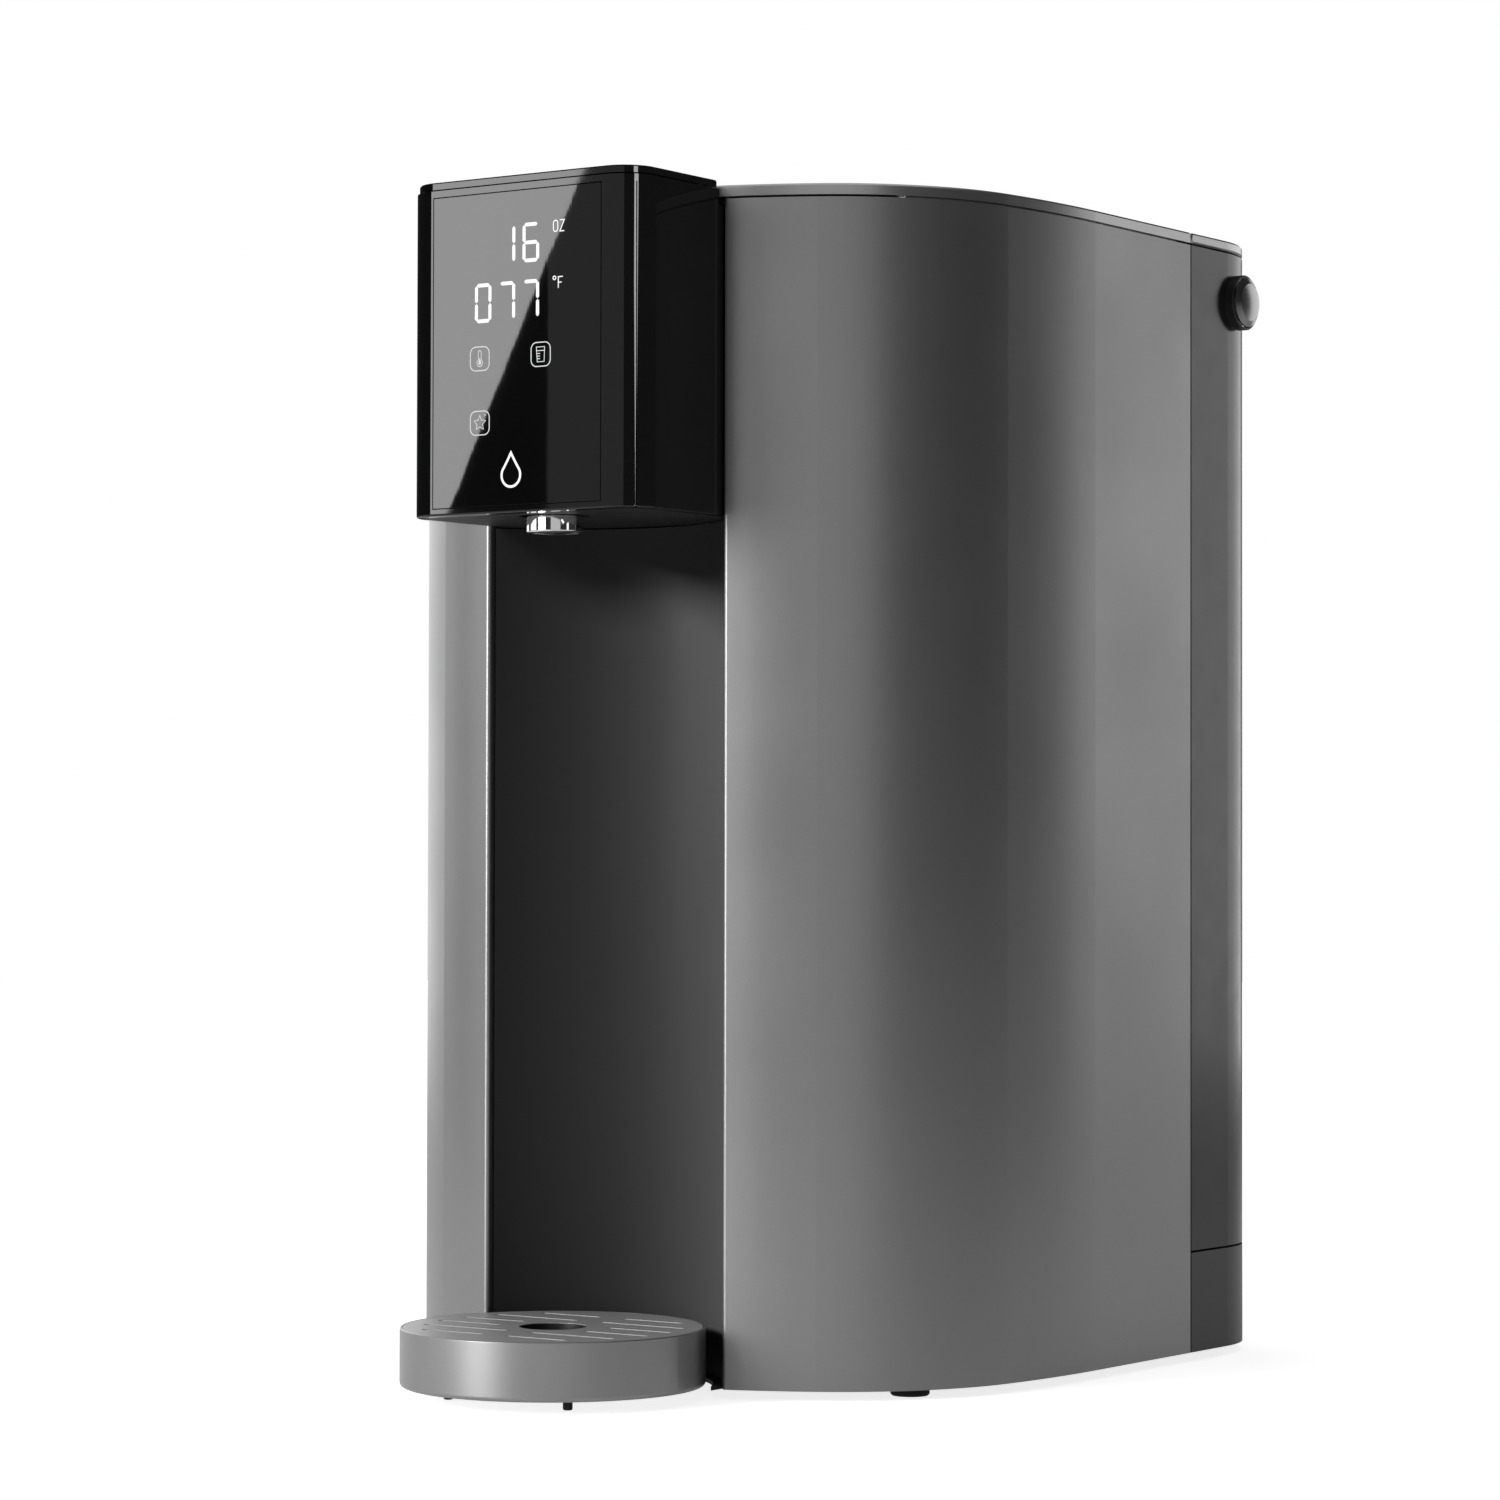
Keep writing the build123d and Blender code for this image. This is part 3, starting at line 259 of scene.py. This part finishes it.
def bright_chrome():
    """Plated metal with the faintest turning rings."""
    paint = Paint("chrome", Metallic=1.0)
    paint.colour(paint.blend(paint.noise(35.0), grey(0.78), grey(0.86)))
    paint.rough(paint.noise(200.0, 4.0), 0.03, 0.07)
    rings = paint.noise(1.0, 3.0, paint.stretched((40.0, 40.0, 2600.0)))
    paint.bump((rings, 0.03, 0.00005))
    return paint.material


def rubber():
    """Dull black rubber with a little dust on it."""
    paint = Paint("black_rubber", Specular_IOR_Level=0.3, Sheen_Weight=0.15, Sheen_Roughness=0.5)
    dust = paint.noise(80.0, 6.0)
    paint.colour(paint.blend(dust, grey(0.012), grey(0.028)))
    paint.rough(dust, 0.7, 0.88)
    paint.bump((paint.noise(900.0, 4.0), 0.35, 0.0002))
    return paint.material


TANK_SHADE_RANGE = (0.04, 0.43)   # heights over which the painted shade deepens towards the top


def smoked_tank():
    """Dark smoked resin, smooth outside, with painted shade: lighter towards the bottom, darker towards the top.
    """
    paint = Paint("smoked_tank", IOR=1.42, Coat_Weight=0.12, Coat_Roughness=0.12)
    low, high = TANK_SHADE_RANGE
    # painted shade rising with height, mixed with random murk in the resin
    height = paint.maths("MULTIPLY", paint.ramp(paint.axis("Z"), low, high), 0.25)
    murk_and_painted_shade = paint.maths("ADD", height, paint.maths("MULTIPLY", paint.noise(7.0), 0.5))
    paint.colour(paint.blend(murk_and_painted_shade, (0.020, 0.0205, 0.022, 1), (0.011, 0.0112, 0.012, 1)))
    paint.rough(paint.noise(90.0, 4.0), 0.2, 0.27)
    paint.bump((paint.noise(26.0, 2.0), 0.04, 0.0006), (paint.noise(700.0), 0.03, 0.0001))
    return paint.material


def clear_tube():
    """Slightly hazy clear hose."""
    paint = Paint("clear_tube", IOR=1.42, Transmission_Weight=0.55)
    haze = paint.noise(60.0, 3.0)
    paint.colour(paint.blend(haze, (0.72, 0.78, 0.8, 1), (0.86, 0.9, 0.92, 1)))
    paint.rough(haze, 0.12, 0.24)
    paint.bump((paint.noise(300.0), 0.08, 0.0002))
    return paint.material


CLEARANCE = 0.3 * MM        # parts start this far in front of a circuit board
BOARD_T = 1.6 * MM


def circuit_board(name, surface):
    """Green solder mask with traces and pads; anything in front of the board is a black or silver part."""
    paint = Paint(name, Specular_IOR_Level=0.5, Coat_Weight=0.25, Coat_Roughness=0.15)
    tracks = paint.cells(260.0, "Distance", distance="MANHATTAN", feature="F1")
    line = paint.ramp(tracks, 0.46, 0.5)
    pads = paint.ramp(paint.cells(420.0, "Distance"), 0.2, 0.17)
    mask = paint.blend(paint.noise(50.0), (0.006, 0.085, 0.034, 1), (0.009, 0.12, 0.05, 1))
    copper = paint.blend(line, mask, (0.03, 0.24, 0.1, 1))
    board = paint.blend(pads, copper, (0.55, 0.52, 0.4, 1))
    chip = paint.node("ShaderNodeSeparateColor", {0: paint.cells(70.0, "Color")}).outputs[0]
    part = paint.blend(paint.ramp(chip, 0.62, 0.68), grey(0.018), (0.5, 0.5, 0.48, 1))
    clear = paint.ramp(paint.axis("Y"), surface, surface - CLEARANCE)
    paint.colour(paint.blend(clear, board, part))
    paint.rough(paint.noise(150.0), 0.3, 0.5)
    paint.bump((line, 0.2, 0.00008), (paint.noise(900.0), 0.05, 0.0001))
    return paint.material


def board_surface(name):
    """Front of a board whose back is its rearmost face."""
    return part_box(name)[1][1] - BOARD_T


BAND_EDGE = 0.4 * MM


def filter_casing(name, band):
    """White cartridge with a coloured band and fine moulding rings."""
    low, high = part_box(name)
    paint = Paint(name + "_casing", Specular_IOR_Level=0.5)
    height = paint.axis("Z")
    third = (high[2] - low[2]) / 3
    band_low = low[2] + third * 1.7
    band_high = high[2] - third * 0.75
    above = paint.ramp(height, band_low, band_low + BAND_EDGE)
    below = paint.ramp(height, band_high, band_high - BAND_EDGE)
    white = paint.blend(paint.noise(18.0, 4.0), (0.62, 0.63, 0.63, 1), (0.74, 0.74, 0.73, 1))
    paint.colour(paint.blend(paint.maths("MULTIPLY", above, below), white, band))
    paint.rough(paint.noise(120.0), 0.3, 0.45)
    rings = paint.noise(1.0, 2.0, paint.stretched((6.0, 6.0, 500.0)))
    paint.bump((rings, 0.1, 0.0001), (paint.noise(1400.0), 0.06, 0.0001))
    return paint.material


def glowing(name, level):
    """Lit white print."""
    paint = Paint(name, Emission_Strength=level)
    lamp = paint.noise(90.0)
    paint.colour(paint.blend(lamp, grey(0.7), grey(0.8)))
    paint.feed(paint.shader.inputs["Emission Color"], paint.blend(lamp, (0.94, 0.97, 1, 1), (1, 1, 1, 1)))
    paint.rough(lamp, 0.3, 0.4)
    return paint.material


BLACK_PLASTIC = moulded("black_plastic", grey(0.010), grey(0.018))
GREY_PLASTIC = moulded("grey_plastic", grey(0.11), grey(0.15), (0.38, 0.5))
WHITE_PLASTIC = moulded("white_plastic", (0.62, 0.62, 0.6, 1), (0.74, 0.74, 0.72, 1), (0.3, 0.42))
STEEL = brushed("steel", grey(0.42), grey(0.62), (60.0, 60.0, 1800.0))
SHEET_STEEL = brushed("sheet_steel", (0.4, 0.41, 0.42, 1), (0.56, 0.57, 0.58, 1), (900.0, 900.0, 14.0))
BRASS = brushed("brass", (0.46, 0.3, 0.1, 1), (0.72, 0.52, 0.2, 1), (700.0, 60.0, 700.0))
RUBBER = rubber()
CHROME = bright_chrome()
TUBE = clear_tube()
BODY = satin_paint("body_lacquer", 0.30)
LID = satin_paint("lid_lacquer", 0.42, 0.85, (0.27, 0.3))
BASE = satin_paint("base_lacquer", 0.05, 0.5)
TRAY = tray_paint()
GRID = grid_paint()
# the recess liner's own dark grey lacquer, made darker still as painted shade in the recess
RECESS = satin_paint("recess_lacquer", 0.03, 0.0, (0.5, 0.56), 0.15)
HEAD = gloss_black("head_gloss")
WINDOW = gloss_black("window_gloss", 0.004, 0.5, (0.008, 0.016))
TANK = smoked_tank()
CAP = brushed("button_metal", grey(0.32), grey(0.38), (30.0, 30.0, 30.0), (0.26, 0.32))

FINISH = {
    "base_pan": BASE, "rubber_feet": RUBBER, "base_screws": STEEL, "power_inlet_socket": BLACK_PLASTIC,
    "inlet_pins": STEEL, "right_side_panel": BODY, "left_side_panel": BODY, "recess_liner": RECESS,
    "head_shell": HEAD, "display_window": WINDOW, "head_top_plate": HEAD,
    "head_underside_cover": BLACK_PLASTIC, "outlet_nozzle": CHROME, "nozzle_aerator": GREY_PLASTIC,
    "digit_display_module": BLACK_PLASTIC, "top_cover": LID, "right_frame_plate": SHEET_STEEL,
    "left_frame_plate": SHEET_STEEL, "rear_bulkhead": SHEET_STEEL, "tank_coupling_socket": GREY_PLASTIC,
    "coupling_seal": RUBBER, "filter_manifold": GREY_PLASTIC, "pump_motor": STEEL,
    "pump_head": BLACK_PLASTIC, "pump_bracket": SHEET_STEEL, "pump_grommets": RUBBER,
    "instant_heater": STEEL, "heater_bracket": SHEET_STEEL, "thermal_cutoff": BLACK_PLASTIC,
    "flow_meter_housing": GREY_PLASTIC, "flow_meter_turbine": WHITE_PLASTIC, "solenoid_valve": BRASS,
    "tank_feed_tube": TUBE, "pump_feed_tube": TUBE, "pump_outlet_tube": TUBE, "meter_feed_tube": TUBE,
    "heater_feed_tube": TUBE, "hot_water_tube": TUBE, "nozzle_tube": TUBE, "tank_shell": TANK,
    "tank_outlet_valve": BLACK_PLASTIC, "valve_plunger": WHITE_PLASTIC, "valve_spring": STEEL,
    "outlet_strainer": WHITE_PLASTIC, "tank_hinge_pins": STEEL, "tank_lid": LID, "tank_lid_seal": RUBBER,
    "right_button_collar": BLACK_PLASTIC, "left_button_collar": BLACK_PLASTIC,
    "right_release_button": CAP, "left_release_button": CAP, "tray_cup": TRAY, "tray_pegs": RUBBER,
    "drip_grid": GRID,
    "prefilter_cartridge": filter_casing("prefilter_cartridge", (0.03, 0.16, 0.36, 1)),
    "membrane_cartridge": filter_casing("membrane_cartridge", (0.05, 0.3, 0.26, 1)),
    "display_board": circuit_board("display_circuit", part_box("digit_display_module")[1][1]),
    "touch_sensor_board": circuit_board("touch_circuit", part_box("touch_sensor_board")[0][1]),
    "power_supply_board": circuit_board("supply_circuit", board_surface("power_supply_board")),
    "main_control_board": circuit_board("control_circuit", board_surface("main_control_board")),
}

for name, node in NODES.items():
    node.data.materials.clear()
    node.data.materials.append(FINISH[name])

# ---------------------------------------------------------------- display graphics
# Outlines are (x, z) in millimetres.
GLASS_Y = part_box("display_window")[0][1]
PROUD = 0.05 * MM           # the print stands this far in front of the glass
SUNK = 0.08 * MM            # and goes this far into it
LIT = glowing("lit_figures", 0.95)
FAINT = glowing("lit_icons", 0.6)


def plate_from_outlines(name, outlines, material):
    """Thin flat piece on the display glass, from closed outlines."""
    mesh = bmesh.new()
    for outline in outlines:
        front = [mesh.verts.new((x * MM, GLASS_Y - PROUD, z * MM)) for x, z in outline]
        back = [mesh.verts.new((x * MM, GLASS_Y + SUNK, z * MM)) for x, z in outline]
        mesh.faces.new(front)
        mesh.faces.new(back[::-1])
        for i in range(len(outline)):
            j = (i + 1) % len(outline)
            mesh.faces.new((front[i], back[i], back[j], front[j]))
    bmesh.ops.recalc_face_normals(mesh, faces=mesh.faces)
    data = bpy.data.meshes.new(name)
    mesh.to_mesh(data)
    mesh.free()
    data.materials.append(material)
    piece = bpy.data.objects.new(name, data)
    SCENE.collection.objects.link(piece)
    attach(piece, BODY_NAME)


SHARPEST = 0.25             # limits how far a mitre reaches out


def stroke(points, width, closed=False):
    """Quads along a line, with mitred corners, as outlines for plate_from_outlines."""
    count = len(points)
    edges = []
    for i, here in enumerate(points):
        before = points[i - 1] if (closed or i > 0) else None
        after = points[(i + 1) % count] if (closed or i < count - 1) else None
        normals = []
        for start, end in ((before, here), (here, after)):
            if start and end:
                dx, dz = end[0] - start[0], end[1] - start[1]
                length = hypot(dx, dz)
                normals.append((-dz / length, dx / length))
        mean = [sum(n[k] for n in normals) / len(normals) for k in (0, 1)]
        size = max(mean[0] ** 2 + mean[1] ** 2, SHARPEST)
        shift = [width / 2 * m / size for m in mean]
        edges.append(((here[0] + shift[0], here[1] + shift[1]), (here[0] - shift[0], here[1] - shift[1])))
    spans = range(count if closed else count - 1)
    return [[edges[i][0], edges[(i + 1) % count][0], edges[(i + 1) % count][1], edges[i][1]] for i in spans]


def arc(centre, radius, start, end, steps=10):
    angles = [radians(start + (end - start) * i / steps) for i in range(steps + 1)]
    return [(centre[0] + radius * cos(a), centre[1] + radius * sin(a)) for a in angles]


def moved(points, centre):
    return [(centre[0] + x, centre[1] + z) for x, z in points]


DIGIT_W = 7.3
DIGIT_H = 13.9
BAR = 1.3                   # width of a segment
BAR_GAP = 0.12
LIT_BARS = {"0": "abcdef", "1": "bc", "6": "acdefg", "7": "abc"}


def bar(start, end):
    """Seven-segment bar with pointed ends."""
    dx, dz = end[0] - start[0], end[1] - start[1]
    length = hypot(dx, dz)
    ux, uz = dx / length, dz / length
    half = BAR / 2
    corners = []
    for along, across in ((0, 0), (half, half), (length - half, half), (length, 0),
                          (length - half, -half), (half, -half)):
        corners.append((start[0] + ux * along - uz * across, start[1] + uz * along + ux * across))
    return corners


def digit(figure, left, bottom):
    """Outlines of the lit bars of one figure."""
    half = BAR / 2
    x = (left + half, left + DIGIT_W - half)
    z = (bottom + half, bottom + DIGIT_H / 2, bottom + DIGIT_H - half)
    gap = BAR_GAP
    bars = {
        "a": ((x[0] + gap, z[2]), (x[1] - gap, z[2])),
        "b": ((x[1], z[1] + gap), (x[1], z[2] - gap)),
        "c": ((x[1], z[0] + gap), (x[1], z[1] - gap)),
        "d": ((x[0] + gap, z[0]), (x[1] - gap, z[0])),
        "e": ((x[0], z[0] + gap), (x[0], z[1] - gap)),
        "f": ((x[0], z[1] + gap), (x[0], z[2] - gap)),
        "g": ((x[0] + gap, z[1]), (x[1] - gap, z[1])),
    }
    return [bar(*bars[key]) for key in LIT_BARS[figure]]


CELL_RIGHT = (-10.9, -0.4, 10.1)    # right edges of the three figures in a row
VOLUME_Z = 398.6            # feet of the upper and the lower row
HEAT_Z = 378.6
volume = digit("1", CELL_RIGHT[1] - DIGIT_W, VOLUME_Z) + digit("6", CELL_RIGHT[2] - DIGIT_W, VOLUME_Z)
plate_from_outlines("volume_figures", volume, LIT)
heat = []
for right, figure in zip(CELL_RIGHT, "077"):
    heat += digit(figure, right - DIGIT_W, HEAT_Z)
plate_from_outlines("heat_figures", heat, LIT)

UNIT_X = 16.3               # left edge of the units
VOLUME_UNIT_TOP = 412.4
HEAT_UNIT_TOP = 392.6
LETTER_W = 1.9
LETTER_H = 3.9
LETTER_LINE = 0.36
DEGREE_R = 0.62


def letter(shape, left, top):
    """Line drawing of a letter, or of the degree ring."""
    w, h = LETTER_W, LETTER_H
    lines = {
        "O": [(arc((w / 2, h - w / 2), w / 2, 0, 180) + arc((w / 2, w / 2), w / 2, 180, 360), True)],
        "Z": [([(0, h), (w, h), (0, 0), (w, 0)], False)],
        "F": [([(w, h), (0, h), (0, 0)], False), ([(0, h * 0.5), (w * 0.75, h * 0.5)], False)],
        "degree": [(arc((0.5, h - 0.5), DEGREE_R, 0, 330, 11), True)],
    }
    found = []
    for points, closed in lines[shape]:
        found += stroke(moved(points, (left, top - h)), LETTER_LINE, closed)
    return found


volume_unit = letter("O", UNIT_X, VOLUME_UNIT_TOP) + letter("Z", UNIT_X + 2.8, VOLUME_UNIT_TOP)
plate_from_outlines("volume_unit", volume_unit, LIT)
heat_unit = letter("degree", UNIT_X, HEAT_UNIT_TOP + 0.2) + letter("F", UNIT_X + 2.2, HEAT_UNIT_TOP)
plate_from_outlines("heat_unit", heat_unit, LIT)

ICON_HALF = 4.2             # half the width of a key's frame
ICON_R = 2.3
ICON_LINE = 0.36
DRAWING_LINE = 0.26
MARK_LINE = 0.3


def icon_frame(centre):
    inner = ICON_HALF - ICON_R
    line = []
    for sx, sz, start in ((1, 1, 0), (-1, 1, 90), (-1, -1, 180), (1, -1, 270)):
        line += arc((sx * inner, sz * inner), ICON_R, start, start + 90, 6)
    return stroke(moved(line, centre), ICON_LINE, True)


def thermometer(centre):
    tube = arc((0, 2.3), 0.62, 0, 180, 6) + arc((0, -1.5), 1.25, 120, 420, 14)
    fluid = arc((0, -1.55), 0.62, -200, 20, 10) + [(0, 0.35)]
    return stroke(moved(tube, centre), DRAWING_LINE, True) + [moved(fluid, centre)]


def measuring_cup(centre):
    glass = [(-1.9, 2.6), (1.7, 2.6), (1.5, -2.6), (-1.5, -2.6)]
    surface = [(-1.8, 1.3), (1.6, 1.3)]
    lines = stroke(moved(glass, centre), DRAWING_LINE, True) + stroke(moved(surface, centre), 0.28)
    for level in (0.3, -0.6, -1.5):
        lines += stroke(moved([(-1.5, level), (-0.3, level)], centre), MARK_LINE)
    return lines


STAR_REACH = (2.7, 1.3)     # tips and hollows


def star(centre):
    tips = []
    for i in range(10):
        reach = STAR_REACH[i % 2]
        angle = pi / 2 + i * pi / 5
        tips.append((reach * cos(angle), reach * sin(angle)))
    spark = [(2.1, 2.6), (2.5, 3.0)]
    return stroke(moved(tips, centre), DRAWING_LINE, True) + stroke(moved(spark, centre), MARK_LINE)


for label, centre, drawing in (("heat_key", (-16.0, 366.0), thermometer),
                               ("volume_key", (10.9, 366.0), measuring_cup),
                               ("favourite_key", (-15.9, 343.3), star)):
    plate_from_outlines(label, icon_frame(centre) + drawing(centre), FAINT)


DROP_CENTRE = (-2.05, 326.3)
DROP_SIZE = (8.2, 12.0)
DROP_LINE = 0.85


def drop_outline(centre, width, height):
    """Water drop: round below, drawn up to a point."""
    r = width / 2
    tip = height - r
    points = arc((0, 0), r, -205, 25, 26)
    side = []
    for i in range(1, 9):
        t = i / 9
        side.append((points[-1][0] * (1 - t) ** 1.1, points[-1][1] + (tip - points[-1][1]) * t))
    mirrored = [(-x, z) for x, z in side][::-1]
    return moved(points + side + [(0, tip)] + mirrored, (centre[0], centre[1] - height / 2 + r))


drop = stroke(drop_outline(DROP_CENTRE, *DROP_SIZE), DROP_LINE, True)
plate_from_outlines("dispense_key", drop, LIT)

# ---------------------------------------------------------------- floor, world and lights
FLOOR_R = 5.0
PAPER_FADE = (0.45, 1.6)    # distances over which the floor turns into the white backdrop
FLOOR_SHOWN = (0.6, 1.02)   # its glow for the camera, near and far
FLOOR_GLOW = 0.2            # its glow for everything
FILL = 0.03                 # light from all around


def lay_floor():
    """Pale paper that runs out into a white backdrop."""
    mesh = bmesh.new()
    bmesh.ops.create_circle(mesh, cap_ends=True, cap_tris=False, segments=96, radius=FLOOR_R)
    data = bpy.data.meshes.new("floor")
    mesh.to_mesh(data)
    mesh.free()
    piece = bpy.data.objects.new("floor", data)
    SCENE.collection.objects.link(piece)
    paint = Paint("floor_paper", Specular_IOR_Level=0.1)
    spot = paint.node("ShaderNodeVectorMath", {0: paint.place}, operation="LENGTH").outputs["Value"]
    paper = paint.blend(paint.noise(3.0), grey(0.78), grey(0.81))
    paint.colour(paint.blend(paint.ramp(spot, *PAPER_FADE), paper, grey(0.0)))
    paint.feed(paint.shader.inputs["Emission Color"], grey(1.0))
    seen = paint.node("ShaderNodeLightPath").outputs["Is Camera Ray"]
    shown = paint.maths("MULTIPLY", paint.ramp(spot, *PAPER_FADE, *FLOOR_SHOWN), seen)
    paint.feed(paint.shader.inputs["Emission Strength"], paint.maths("ADD", shown, FLOOR_GLOW))
    paint.rough(paint.noise(5.0), 0.75, 0.85)
    paint.bump((paint.noise(400.0), 0.05, 0.0002))
    data.materials.append(paint.material)
    return piece


def fill_world():
    """White behind the object, and a faint even light on it."""
    world = bpy.data.worlds.new("studio")
    world.use_nodes = True
    SCENE.world = world
    sky = world.node_tree
    backdrop = sky.nodes["Background"]
    backdrop.inputs[0].default_value = grey(1.0)
    backdrop.inputs[1].default_value = 1.0
    fill = sky.nodes.new("ShaderNodeBackground")
    fill.inputs[0].default_value = grey(1.0)
    fill.inputs[1].default_value = FILL
    seen = sky.nodes.new("ShaderNodeLightPath")
    choice = sky.nodes.new("ShaderNodeMixShader")
    sky.links.new(seen.outputs["Is Camera Ray"], choice.inputs[0])
    sky.links.new(fill.outputs[0], choice.inputs[1])
    sky.links.new(backdrop.outputs[0], choice.inputs[2])
    sky.links.new(choice.outputs[0], sky.nodes["World Output"].inputs[0])


floor = lay_floor()
fill_world()

# Each soft box lights one set of pieces: the gloss black head, the recess, the nozzle, or all but head and recess.
GLOSSY = ("head_shell", "display_window", "head_top_plate")
glossy_set = bpy.data.collections.new("glossy_receivers")
recess_set = bpy.data.collections.new("recess_receivers")
other_set = bpy.data.collections.new("other_receivers")
for name, node in NODES.items():
    receivers = glossy_set if name in GLOSSY else recess_set if name == "recess_liner" else other_set
    receivers.objects.link(node)
other_set.objects.link(floor)
chrome_set = bpy.data.collections.new("chrome_receivers")
chrome_set.objects.link(NODES["outlet_nozzle"])


def card(name, place, facing, width, height, level, receivers):
    """Soft box of a given brightness; facing is its rotation, and it shines along its own -Z."""
    lamp = bpy.data.lights.new(name, "AREA")
    lamp.shape = "RECTANGLE"
    lamp.size = width
    lamp.size_y = height
    lamp.energy = level * pi * width * height
    holder = bpy.data.objects.new(name, lamp)
    holder.location = place
    holder.rotation_euler = facing.to_euler()
    holder.visible_camera = False
    holder.light_linking.receiver_collection = receivers
    SCENE.collection.objects.link(holder)


AIM = Vector((0, 0, 0.22))  # the middle of the object
FACE_DISTANCE = 1.5


def round_card(name, azimuth, elevation, distance, width, height, level, receivers=other_set):
    """Soft box in a direction seen from the middle of the object, turned towards it."""
    turn, lift = radians(azimuth), radians(elevation)
    away = Vector((sin(turn) * cos(lift), -cos(turn) * cos(lift), sin(lift)))
    facing = away.to_track_quat("Z", "Y").to_matrix()
    card(name, AIM + away * distance, facing, width, height, level, receivers)


def face_card(name, x, z, width, height, level, tilt=0.0):
    """Soft box parallel to the display, in front of it. Tilt leans it sideways."""
    facing = Matrix.Rotation(radians(tilt), 3, "Y") @ Matrix.Rotation(pi / 2, 3, "X")
    card(name, (x, GLASS_Y - FACE_DISTANCE, z), facing, width, height, level, glossy_set)


# name, azimuth and elevation in degrees, distance, width, height, brightness
round_card("key", -24, 14, 2.2, 0.7, 1.3, 9.0)
round_card("left_fill", -60, 14, 2.2, 1.3, 1.4, 1.3)
round_card("left_wall", -118, 6, 2.2, 2.0, 2.0, 1.5)
round_card("front_wall", -14.5, 8, 2.4, 0.9, 1.7, 4.8)
round_card("flank_wall", 36, 8, 2.4, 1.6, 1.7, 0.5)
round_card("rear_right_wall", 166, 4, 2.4, 1.9, 2.0, 1.3)
round_card("overhead", 0, 88, 2.2, 2.2, 2.2, 0.8)
round_card("recess_left", -64, 20, 2.2, 1.0, 0.4, 68.0, recess_set)
round_card("recess_front", -14, 20, 2.2, 0.8, 0.4, 26.0, recess_set)
round_card("nozzle_strip", 84, 6, 2.2, 0.3, 1.6, 1.5, chrome_set)
round_card("nozzle_side", -140, 2, 2.2, 0.8, 1.6, 1.2, chrome_set)
round_card("corner_strip", 66, 2, 2.2, 0.5, 3.0, 9.0, glossy_set)
face_card("face_box", -1.241, 0.628, 0.2, 0.9, 6.3, 26.9)
face_card("face_wall", -0.09, 0.6, 2.06, 1.6, 0.36)
